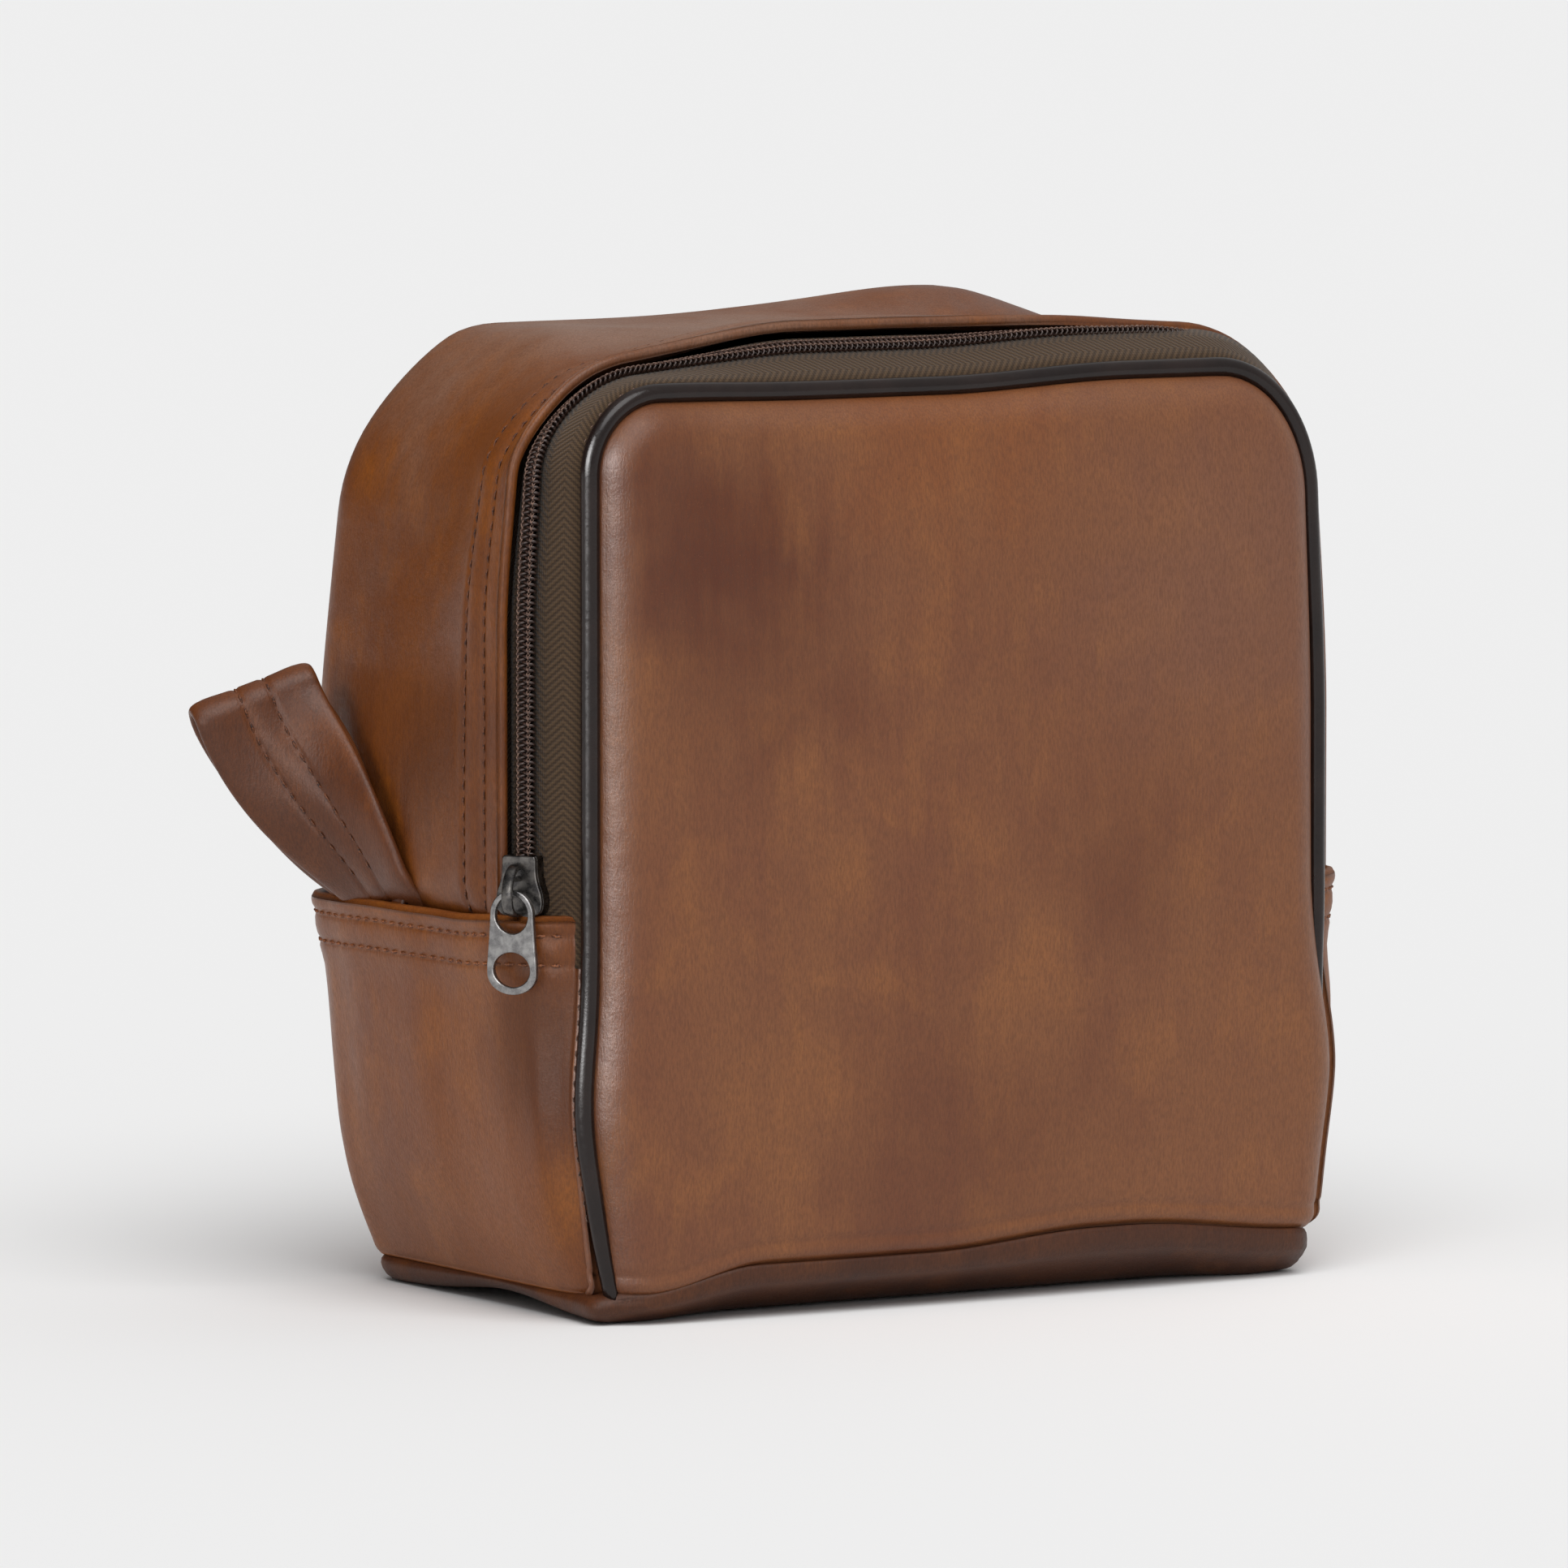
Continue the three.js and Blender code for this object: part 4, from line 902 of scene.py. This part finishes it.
def skirt_line(z):
    """The skirt's outline at one height: left piping, left side, back, right side, right piping."""
    left, right = skirt_side(z, -1), skirt_side(z, 1)
    left[:, 0] -= strap_bump(left[:, 1], z) * skirt_full(z)
    return np.concatenate([left, right[-2::-1]])


def skirt_edge_lift(y):
    return 1.0 * ramp((-18 - y) / 20) - 0.6 * ramp((y - 10) / 30)


def make_skirt():
    rows_z = (SKIRT_TOP - 3.0, SKIRT_TOP - 3.0 - STITCH_GAUGE)
    heights = [z + d for z in rows_z for d in (-1.4, -0.7, 0, 0.7, 1.4)]
    heights += [sum(rows_z) / 2, SKIRT_TOP, SKIRT_TOP - 0.7, *spaced([SEAM_Z - 0.8, SEAM_Z + 3], 0.9)]
    heights += [*spaced([SEAM_Z + 4.5, rows_z[1] - 3], 2.6)]
    heights = np.array(sorted(heights))
    grid = np.array([stack(line[:, 0], line[:, 1], z) for z in heights for line in [skirt_line(z)]])
    groove = sum(0.42 * bell(heights - row, 0.75) for row in rows_z)
    puff = 0.45 * bell(heights - SKIRT_TOP + 0.9, 1.4) + 0.3 * bell(heights - sum(rows_z) / 2, 2.1)
    tuck = 0.9 * (1 - np.clip((heights - SEAM_Z + 0.8) / 2.6, 0, 1)) ** 2
    below = -0.5 * ramp((rows_z[1] - 1.2 - heights) / 4)
    offset = (puff - groove + below - tuck)[:, None]
    normal = grid_normals(grid)
    outward = np.sign(np.sum(normal * (grid - np.array([0, 0, 50.0])), axis=-1, keepdims=True))
    normal = normal * outward
    columns = np.arange(grid.shape[1])
    near_piping = ramp(np.minimum(columns, columns[::-1]) / 3.0)[None, :]
    grid = grid + normal * (offset * near_piping)[..., None]
    waves = 0.9 * wander(grid, 58, 23) * ramp((grid[..., 2] - 12) / 22) * ramp((70 - grid[..., 2]) / 14)
    grid = grid + normal * (waves * near_piping)[..., None]
    grid[..., 2] += skirt_edge_lift(grid[..., 1]) * ramp((grid[..., 2] - 60) / 12)
    flow = stack(run_length(grid[-1])[None, :], grid[..., 2], 0)
    thickness = 1.8 + 0.9 * ramp((heights - rows_z[1] + 2) / 3)[:, None]
    piece = leather_sheet("leather_skirt", grid, thickness, SKIRT_LEATHER, float(outward.mean()), flow)
    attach(piece, "root")
    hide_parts("lower_skirt")
    for number, row in enumerate(rows_z):
        k = int(np.argmin(np.abs(heights - row)))
        line, ups = grid[k, 1:-1], normal[k, 1:-1]
        sewn = stitches(f"skirt_stitches_{number + 1}", line, ups, *SKIRT_STITCH)
        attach(sewn, "root")


# ---- Base ----
BASE_BACK_CORNER = 9.0
BASE_FRONT_CORNER = 3.4


def base_outline(spread, z, arch_share, count=220):
    """A ring round the base, spread out from its outline. The front rises with the seam."""
    half, front, back = base_high[0] - 0.5 + spread, -47 - spread, 46 + spread
    points = []
    for side, edge, quarter in ((1, back, 0), (-1, back, 1), (-1, front, 2), (1, front, 3)):
        corner = (BASE_BACK_CORNER if edge > 0 else BASE_FRONT_CORNER) + spread * 0.5
        centre = np.array([side * (half - corner), edge - math.copysign(corner, edge)])
        for angle in np.linspace(quarter, quarter + 1, 13) * math.pi / 2:
            points.append(centre + corner * np.array([math.cos(angle), math.sin(angle)]))
    points = np.array(points + points[:1])
    length = run_length(points)
    where = np.linspace(0, length[-1], count, endpoint=False)
    x, y = np.interp(where, length, points[:, 0]), np.interp(where, length, points[:, 1])
    seam = front_seam_z(x)
    at_front = ramp((-y - 40) / 6)
    half_here = panel_half(seam, x)
    edge = np.maximum(half_here - np.abs(x), 0)
    forward = np.maximum(0, front - front_depth(x, seam, half_here, edge) - 0.4)
    sag = 2.4 * (1 - arch_share) * at_front * ramp((74 - np.abs(x)) / 26)
    side_lift = 3.0 * (1 - arch_share) * ramp((np.abs(x) - 74) / 8) * bell(y + 8, 24)
    back_lift = 1.2 * (1 - arch_share) * ramp((y - 36) / 8) * ramp((66 - np.abs(x)) / 24)
    z = z + at_front * arch_share * (seam - SEAM_Z) + sag + side_lift + back_lift
    return stack(x, y - at_front * ramp(arch_share / 0.6) * forward, z)


def make_base():
    rings = []
    for share in (0.02, 0.35, 0.7, 0.9):
        ring = base_outline(-5, 0, 0)
        ring[:, :2] *= share
        ring[:, 2] += 0.9 * (1 - share)
        rings.append(ring)
    profile = [
        (-4.5, 0.0, 0.0), (-2.4, 0.05, 0.0), (-1.0, 0.45, 0.04), (0.0, 1.3, 0.14),
        (0.6, 2.4, 0.3), (0.9, 3.5, 0.5), (0.8, 4.5, 0.7), (0.3, 5.3, 0.86),
        (-0.7, 5.9, 0.96), (-2.2, 6.5, 1.0), (-3.6, 7.4, 1.0),
    ]
    rings += [base_outline(spread, z, share) for spread, z, share in profile]
    rings += [base_outline(spread - 1.8, z, share) for spread, z, share in profile[-2:3:-1]]
    rings.append(base_outline(-6, 1.8, 0))
    rings.append(base_outline(-6, 1.8, 0) * np.array([0.05, 0.05, 1]))
    grid = np.array(rings)
    x, y, z = grid[..., 0], grid[..., 1], grid[..., 2]
    ear = bell(np.abs(x) - 86, 6) * bell(y + 48, 6) * ramp(z / 2) * (x < 0)
    x -= 0.9 * ear
    y -= 0.9 * ear
    pinch = 0.35 * np.sin(x * 2.6) * bell(x + 84, 4.5) * bell(y + 49, 5)
    y += pinch * ramp((z - 1) / 3)
    faces = tube_faces(*grid.shape[:2])
    piece = fix_normals(make_object("leather_base", grid.reshape(-1, 3), faces, BASE_LEATHER))
    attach(piece, "root")
    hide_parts("base_panel")


# ---- Zip ----
def make_tapes():
    centre, across, above = zip_frame(FOLD_Z - 9, 1.6)
    front = [(-1.2, 0.0), (-1.2, -0.6), (-7, -0.75), (-12.6, -0.6), (-12.6, 0.0), (-9.5, 0.18), (-5, 0.2)]
    piece = swept("zip_tape_front_cloth", centre, across, above, front, TAPE, soft=True)
    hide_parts("zip_tape_front")
    fold_blend(piece)
    rear = [
        (1.2, 0.0), (3.6, 0.0), (5.2, -1.5), (6.0, -3.6), (5.5, -3.8), (4.6, -2.0), (3.3, -0.65), (1.2, -0.6),
    ]
    piece = swept("zip_tape_rear_cloth", centre, across, above, rear, TAPE, soft=True)
    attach(piece, "root")
    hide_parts("zip_tape_rear")


def coil_half(name, node, side, body, shift):
    """One half of the chain: a wound nylon wire, flattened, whose turns reach between the other half's."""
    centre, across, above = zip_frame(SLIDER_Z + 3.6, 0.8)
    flat = ramp(above[:, 2] / 0.86)[:, None]
    sink = 0.8 * flat + 0.6 * ramp((centre[:, :1] - 20) / 30) + 1.7 * ramp((centre[:, :1] - 50) / 20)
    across, above = unit(across - 0.30 * flat * above), unit(above + 0.30 * flat * across)
    centre = centre - above * sink
    length = run_length(centre)
    turns = int((length[-1] - 1) / COIL_PITCH)
    per_turn = 12
    phase = np.arange(turns * per_turn + 1) / per_turn
    where = 0.5 + (phase + shift) * COIL_PITCH
    middle, sideways, up = [at_lengths(values, length, where) for values in (centre, across, above)]
    angle = phase[:, None] * 2 * math.pi
    reach = side * (0.95 + 1.22 * np.cos(angle))
    line = settle(middle + sideways * reach + up * (1.15 + 0.74 * np.sin(angle)))
    _, sides, ups = line_frames(line, up + 0.2 * sideways)
    piece = swept(name, line, sides, ups, circle(COIL_WIRE, 6), COIL)
    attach(piece, body)
    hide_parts(node)
    row = centre + across * side * 1.3 + above * 1.9
    for number, slant in enumerate((0.5, -0.5)):
        line = settle(row + across * (0.26 * (number - 0.5)))
        sewn = stitches(f"{name}_sewing_{number + 1}", line, above, *ZIP_STITCH, slant)
        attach(sewn, body)


# ---- Slider and pull tab, in the slider's own frame: X to the front, Y up the zip, Z away from the bag ----
# The low and the high face of each flat part
PLATE_FACES, RAIL_FACES, FOOT_FACES, NECK_FACES = (2.85, 3.75), (0.35, 2.9), (-2.0, -1.1), (-1.2, 3.0)
TAB_FACES = (TAB_AXIS_ABOVE - 0.6, TAB_AXIS_ABOVE + 0.6)
TAB_LENGTH = 21.2
TAB_RING = 4.95               # radius of the tab's upper end
TAB_WIDE = 5.65               # half its width at the lower end


def slider_matrix():
    x_axis = Vector((math.sin(ZIP_TURN), -math.cos(ZIP_TURN), 0))
    z_axis = Vector((-math.cos(ZIP_TURN), -math.sin(ZIP_TURN), 0))
    turn = Matrix((x_axis, Vector((0, 0, 1)), z_axis)).transposed().to_4x4()
    place = Vector((-(PIPING_HALF + ZIP_OUT), PIPING_Y + ZIP_BACK, SLIDER_Z)) * MM
    return Matrix.Translation(place) @ turn


def slab(name, loops, faces_z, material, bevel_width):
    """A flat plate from an outline and its holes, with bevelled edges, placed on the slider."""
    low, high = faces_z
    bm = bmesh.new()
    edges = []
    for loop in loops:
        ring = [bm.verts.new((x * MM, y * MM, low * MM)) for x, y in loop]
        edges += [bm.edges.new((a, b)) for a, b in zip(ring, ring[1:] + ring[:1])]
    made = bmesh.ops.triangle_fill(bm, use_beauty=True, use_dissolve=True, edges=edges)
    faces = [f for f in made["geom"] if isinstance(f, bmesh.types.BMFace)]
    lifted = bmesh.ops.extrude_face_region(bm, geom=faces)
    top = [v for v in lifted["geom"] if isinstance(v, bmesh.types.BMVert)]
    bmesh.ops.translate(bm, verts=top, vec=(0, 0, (high - low) * MM))
    bmesh.ops.recalc_face_normals(bm, faces=bm.faces)
    bm.transform(slider_matrix())
    obj = bmesh_object(name, bm, material)
    bevel = obj.modifiers.new("bevel", "BEVEL")
    bevel.width = bevel_width * MM
    bevel.segments = 3
    bevel.limit_method = "ANGLE"
    bevel.angle_limit = math.radians(35)
    bevel.harden_normals = False
    return obj


def bmesh_object(name, bm, material):
    mesh = bpy.data.meshes.new(name)
    bm.to_mesh(mesh)
    bm.free()
    add_vectors(mesh, "rest", np.array([v.co for v in mesh.vertices], float) / MM)
    mesh.materials.append(material)
    mesh.polygons.foreach_set("use_smooth", [True] * len(mesh.polygons))
    mesh.set_sharp_from_angle(angle=math.radians(40))
    return in_scene(bpy.data.objects.new(name, mesh))


def curve_through(points, per_span):
    """A smooth run of points through a few given ones (Catmull-Rom)."""
    p = np.array(points, float)
    padded = np.concatenate([p[:1], p, p[-1:]])
    result = []
    for k in range(1, len(padded) - 2):
        a, b, c, d = padded[k - 1:k + 3]
        for t in np.arange(per_span) / per_span:
            curved = (2 * a - 5 * b + 4 * c - d) * t**2 + (3 * b - a - 3 * c + d) * t**3
            result.append(0.5 * (2 * b + (c - a) * t + curved))
    result.append(p[-1])
    return np.array(result)


def slider_outline(shrink):
    flank = [(0.0, 0.0), (2.8, 0.2), (4.7, 1.3), (5.25, 3.0), (5.05, 5.0), (4.3, 7.2), (3.9, 9.2)]
    right = curve_through([*flank, (3.8, SLIDER_LENGTH - 0.5)], 6)
    right = np.concatenate([right, [(3.5, SLIDER_LENGTH)]])
    right[:, 0] = np.maximum(0, right[:, 0] - shrink)
    left = right[::-1] * np.array([-1, 1])
    return np.concatenate([right[1:], left[:-1]])


def arc(centre, radius_x, radius_y, start, end, count):
    angles = np.radians(np.linspace(start, end, count))
    return stack(centre[0] + radius_x * np.cos(angles), centre[1] + radius_y * np.sin(angles))


def make_slider():
    plate = slab("slider_plate", [slider_outline(0.0)], PLATE_FACES, GUNMETAL, 0.22)
    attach(plate, "slider")
    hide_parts("zip_slider_body")
    rim, inside = slider_outline(0.0), slider_outline(0.55)
    for name, side in (("slider_rail_front", 1), ("slider_rail_rear", -1)):
        outer = np.array([p for p in rim if p[0] * side > 2.4])
        inner = np.array([p for p in inside if p[0] * side > 1.9])
        outer, inner = outer[np.argsort(outer[:, 1])], inner[np.argsort(inner[:, 1])]
        rail = slab(name, [np.concatenate([outer, inner[::-1]])], RAIL_FACES, GUNMETAL, 0.12)
        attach(rail, "slider")
    foot_plate = slab("slider_foot_plate", [slider_outline(0.4)], FOOT_FACES, GUNMETAL, 0.2)
    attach(foot_plate, "slider")
    neck_outline = [(-0.8, 0.4), (0.8, 0.4), (0.9, 2.0), (0.0, 3.2), (-0.9, 2.0)]
    neck = slab("slider_neck", [neck_outline], NECK_FACES, GUNMETAL, 0.1)
    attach(neck, "slider")
    bridge = make_bridge()
    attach(bridge, "slider")
    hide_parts("zip_slider_bridge")
    dress_cad_node("zip_lock_pin", GUNMETAL)


def make_bridge():
    """The strip of metal that arches over the plate and holds the pull tab."""
    course = [(1, 3.4), (1, 5.6), (1.9, 7.6), (4.2, 8.5), (7.2, 8.1), (9.4, 6.9), (10.4, 5.2), (10.5, 3.4)]
    line = curve_through([(0, y, z) for y, z in course], 5)
    section = arc((0, 0), 1.18, 0.62, 0, 337.5, 16) * np.array([1.15, 1.2])
    section = np.clip(section, (-1.15, -0.6), (1.15, 0.6))
    right = np.array([1.0, 0, 0])
    bm = bmesh.new()
    rings = []
    for place, tangent in zip(line, unit(np.gradient(line, axis=0))):
        up = np.cross(right, tangent)
        rings.append([bm.verts.new(tuple((place + right * a + up * b) * MM)) for a, b in section])
    for first, second in zip(rings, rings[1:]):
        for k in range(len(first)):
            bm.faces.new((first[k - 1], first[k], second[k], second[k - 1]))
    bm.faces.new(rings[0][::-1])
    bm.faces.new(rings[-1])
    bmesh.ops.recalc_face_normals(bm, faces=bm.faces)
    bm.transform(slider_matrix())
    return bmesh_object("slider_bridge", bm, GUNMETAL)


def make_pull_tab():
    top = TAB_AXIS_Z - SLIDER_Z + 0.9
    low = top - TAB_LENGTH
    right = np.concatenate([
        arc((0, top - TAB_RING), TAB_RING, TAB_RING, 90, 0, 12)[:-1],
        [(5.05, top - 7.5), (5.35, top - 11.5), (TAB_WIDE, top - 15.0), (TAB_WIDE + 0.02, low + 4.6)],
        arc((0, low + 4.2), TAB_WIDE, 4.2, 0, -90, 14)[1:],
    ])
    left = right[::-1] * np.array([-1, 1])
    outline = np.concatenate([right, left[1:-1]])
    upper = arc((0, top - 1.15 - 3.85), 3.8, 3.85, 0, 348.75, 32)
    lower = arc((0, low + 1.5 + 3.55), 4.25, 3.55, 0, 348.75, 32)
    tab = slab("pull_tab_plate", [outline, upper, lower], TAB_FACES, PULL_GREY, 0.22)
    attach(tab, "pull_tab")
    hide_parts("zip_pull_tab")


def dress_cad_node(name, material):
    """Gives a CAD node that stays in view its finished material."""
    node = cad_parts[name]
    if "rest" not in node.data.attributes:
        add_vectors(node.data, "rest", np.array([v.co for v in node.data.vertices], float) / MM)
    node.data.materials.clear()
    node.data.materials.append(material)


# ---- Strap loop: one run leans out and back, turns over, and comes down again behind the first ----
STRAP_LOW = np.array([-101.6, 12.1, 83.6])
STRAP_RUN = 51.5
STRAP_TURN = 0.92             # share of the run where the strap starts to turn back on itself
STRAP_SPREAD = 3.3
STRAP_THICK = 2.8
STRAP_SHIFT = 5.0             # the rear run starts this far behind the front one
STRAP_ROWS = (-3.1, 3.1)
LEAN_SHARE = 0.35             # where along the run the middle values of leans and twists hold
STRAP_LEANS = np.array([[-0.43, 0.44], [-0.50, 0.68], [-0.24, 0.08]])
STRAP_TWISTS = np.array([0.03, 0.44, 1.33])


def between(values, t):
    """A smooth course through a low, a middle and a high value."""
    low, middle, high = values
    m = LEAN_SHARE
    return low * (t - m) * (t - 1) / m + middle * t * (t - 1) / (m * (m - 1)) + high * t * (t - m) / (1 - m)


def strap_run(steps):
    """(place, along, wide, away, spread, shift) at each step up the front run."""
    run = []
    step = STRAP_RUN * STRAP_TURN / steps
    for t in np.linspace(0, STRAP_TURN, steps + 1):
        lean = between(STRAP_LEANS, t)
        along = unit(np.array([lean[0], lean[1], 1.0]))
        place = STRAP_LOW if not run else run[-1][0] + unit(run[-1][1] + along) * step
        twist = between(STRAP_TWISTS, t)
        wide = np.array([-math.sin(twist), math.cos(twist), 0])
        wide = unit(wide - along * (wide @ along))
        spread = mix(STRAP_THICK / 2 + 0.1, STRAP_SPREAD, float(ramp((t - 0.25) / 0.7)))
        shift = STRAP_SHIFT * (1 - float(ramp(t / 0.8)))
        run.append((place, along, wide, unit(np.cross(wide, along)), spread, shift))
    return run


def strap_path():
    """Centres, width directions and outward directions round the loop, from behind the skirt and back."""
    run = strap_run(32)
    front = [(place, wide, -away) for place, along, wide, away, spread, shift in run]
    rear = []
    for place, along, wide, away, spread, shift in run:
        rear.append((place + away * 2 * spread + wide * shift, wide, away))
    turn = []
    for angle in np.linspace(0, math.pi, 18)[1:-1]:
        outward = -away * math.cos(angle) + along * math.sin(angle)
        turn.append((place + away * spread + outward * spread, wide, outward))
    tails = []
    for start, x in ((front[0], -99.7), (rear[0], -98.8)):
        tail = []
        for drop in (1.0, 2.2, 3.6, 5.2, 7.0):
            settled = float(ramp(drop / 2.0))
            end = np.array([x, start[0][1] + 0.2 * drop, start[0][2] - drop])
            slide = start[0] - run[0][1] * drop
            tail.append((mix(slide, end, settled), start[1], start[2]))
        tails.append(tail)
    path = tails[0][::-1] + front + turn + rear[::-1] + tails[1]
    squeeze = np.ones(len(path))
    squeeze[:6] = (0.3, 0.3, 0.3, 0.45, 0.75, 0.95)
    squeeze[-6:] = squeeze[5::-1]
    return [np.array(column) for column in zip(*path)] + [squeeze]


def strap_section():
    """Half the outline is the outer face, half the inner; two stitched grooves run down the middle."""
    half = STRAP_WIDTH / 2
    rounded = -half * np.cos(np.linspace(0, 0.45, 6))
    across = np.concatenate([rounded, spaced([-11.5, -5], 1.6), spaced([-4.4, -2], 0.6)])
    across = np.concatenate([across, -across[::-1]])
    body = STRAP_THICK / 2 * np.sqrt(np.clip(1 - (np.abs(across) / half) ** 12, 0, 1))
    groove = sum(0.42 * bell(across - row, 0.6) for row in STRAP_ROWS)
    puff = 0.22 * bell(across, 1.8) + 0.25 * bell(np.abs(across) - 9.5, 3.5)
    upper = stack(across, body - groove + puff)
    return np.concatenate([upper, (upper * np.array([1, -1]))[-2:0:-1]])


def make_strap():
    centres, wides, outs, squeeze = strap_path()
    tangents = unit(np.gradient(centres, axis=0))
    sides = unit(wides - tangents * np.sum(wides * tangents, axis=-1, keepdims=True))
    ups = unit(np.cross(tangents, sides))
    ups = ups * np.sign(np.sum(ups * outs, axis=-1, keepdims=True))
    piece = swept("strap_leather", centres, sides, ups, strap_section(), STRAP_LEATHER, squeeze)
    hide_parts("handle_strap", "handle_anchor")
    pieces = [piece]
    inner = slice(8, -8)
    for number, row in enumerate(STRAP_ROWS):
        for face, lift in (("outer", 1), ("inner", -1)):
            name = f"strap_stitches_{face}_{number + 1}"
            line = (centres + sides * row + ups * lift * (STRAP_THICK / 2 - 0.36))[inner]
            pieces.append(stitches(name, line, ups[inner] * lift, *STRAP_STITCH))
    for item in pieces:
        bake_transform(item)


# ---- Lining ----
def make_lining():
    """A cloth cup inside the body, open at the front, and a cloth sheet behind the front panel."""
    def ring(inset, y):
        heights = spaced([12, 60, FOLD_Z, BODY_TOP - 32], 6)
        places, _ = arch(BODY_HALF, BODY_TOP - 4 - inset, body_corners(y) - 3 - inset * 0.6, heights, 10, 14)
        half = skirt_half(np.clip(places[:, 1], 12, 80)) - 7.5 - inset
        x = places[:, 0] * half / BODY_HALF
        floor_x = np.linspace(1, -1, 16) * (half[0] - 3)
        floor = stack(floor_x, y, 4.2 + inset * 0.7)
        return np.concatenate([stack(x, y, places[:, 1]), floor])
    shape = [(0, -28.5), (0, -10), (0, 12), (0, 33), (1.2, 37.5), (4, 41.5), (8, 43.6), (14, 44.4)]
    outside = [ring(inset, y) for inset, y in shape]
    inside = [ring(inset + 0.8, min(y, 43.4)) for inset, y in shape][::-1]
    grid = settle(np.array(outside[::-1] + inside[::-1]))
    cup = fix_normals(make_object("lining_cup", grid.reshape(-1, 3), tube_faces(*grid.shape[:2]), LINING))
    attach(cup, "root")
    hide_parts("lining_body")
    top, inset = PIPING_TOP - PANEL_INSET, 4.5
    shares = np.linspace(-1, 1, 48)
    corner = panel_corners(shares)
    z = spaced([14, top - 4.5], 3.0)[:, None]
    half = panel_half(z, shares)
    x = shares * (outline_width(half, top, corner, z) - inset)
    edge = outline_distance(half, top, corner, x, z)
    grid = stack(x, front_depth(x, z, half, edge) + 3.6, z)
    sheet = leather_sheet("lining_front", settle(grid), 0.7, LINING, 1.0)
    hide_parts("lining_flap", "lining_front_lower")
    fold_blend(sheet)


# ---- Stage, light and camera ----
DARK_SIDE = (-0.515, 0.857, 0.03)        # the studio is darkest this way


def make_stage():
    s = Shader("floor", roughness=1.0, specular=0.0)
    s.colour((0.9, 0.9, 0.9, 1))
    mesh = bpy.data.meshes.new("floor")
    reach = 60.0
    corners = [(x * reach, y * reach, 0) for x, y in ((-1, -1), (1, -1), (1, 1), (-1, 1))]
    mesh.from_pydata(corners, [], [(0, 1, 2, 3)])
    mesh.materials.append(s.material)
    floor = in_scene(bpy.data.objects.new("floor", mesh))
    return floor


def direction(azimuth, elevation):
    """Azimuth 0 is to the front and 90 to the right, in degrees."""
    a, e = math.radians(azimuth), math.radians(elevation)
    return Vector((math.sin(a) * math.cos(e), -math.cos(a) * math.cos(e), math.sin(e)))


def facing_from(name, data, back):
    """An object in the scene that looks from a direction towards the bag."""
    obj = in_scene(bpy.data.objects.new(name, data))
    obj.rotation_mode = "QUATERNION"
    obj.rotation_quaternion = back.to_track_quat("Z", "Y")
    return obj


def add_sun(name, azimuth, elevation, strength, spread, diffuse=True, glossy=True):
    """A broad far light."""
    light = bpy.data.lights.new(name, "SUN")
    light.energy = strength
    light.angle = math.radians(spread)
    obj = facing_from(name, light, direction(azimuth, elevation))
    obj.visible_diffuse = diffuse
    obj.visible_glossy = glossy
    return obj


def make_light(floor, front_pieces):
    """A bright studio, darker behind the bag's left side, with a key and three lights for the leather."""
    world = bpy.data.worlds.new("studio")
    bpy.context.scene.world = world
    world.use_nodes = True
    tree = world.node_tree
    towards = add_node(tree, "TexCoord", {}, "Generated")
    inputs = {0: towards, 1: DARK_SIDE}
    behind = add_node(tree, "VectorMath", inputs, "Value", operation="DOT_PRODUCT")
    background = tree.nodes["Background"]
    link(tree, smooth_window(tree, behind, 0.15, 0.85, 0.52, 0.02), background.inputs["Strength"])
    background.inputs["Color"].default_value = (1, 1, 1, 1)
    add_sun("key", -20, 58, 2.0, 50)
    behind_left = add_sun("behind_left", -128, 30, 1.3, 24, glossy=False)
    off_floor = bpy.data.collections.new("not_on_the_floor")
    off_floor.objects.link(floor)
    off_floor.collection_objects[0].light_linking.link_state = "EXCLUDE"
    behind_left.light_linking.receiver_collection = off_floor
    shine = add_sun("shine", -74, 14, 5.4, 40, diffuse=False)
    shine.light_linking.receiver_collection = bpy.data.collections.new("shine_on_the_front")
    for piece in front_pieces:
        shine.light_linking.receiver_collection.objects.link(piece)
    add_sun("low_shine", -58, 8, 1.4, 40, diffuse=False)
    bpy.context.scene.view_settings.view_transform = "Standard"


def make_camera():
    distance = 2.8738
    target = Vector((-13.93, -2.0, 103.44)) * MM
    back = direction(-31.34, 5.17)
    data = bpy.data.cameras.new("camera")
    data.sensor_width = 36.0
    data.lens = 318.5
    data.clip_start, data.clip_end = 0.1, 200.0
    camera = facing_from("camera", data, back)
    camera.location = target + back * distance
    bpy.context.scene.camera = camera


make_camera()
make_gusset()
make_back()
make_light(make_stage(), [make_front(), make_piping()])
make_skirt()
make_base()
make_tapes()
coil_half("coil_front", "zip_coil_front", -1, "flap", 0.0)
coil_half("coil_rear", "zip_coil_rear", 1, "root", 0.5)
make_slider()
make_pull_tab()
make_strap()
make_lining()
dress_cad_node("base_board", fibreboard())
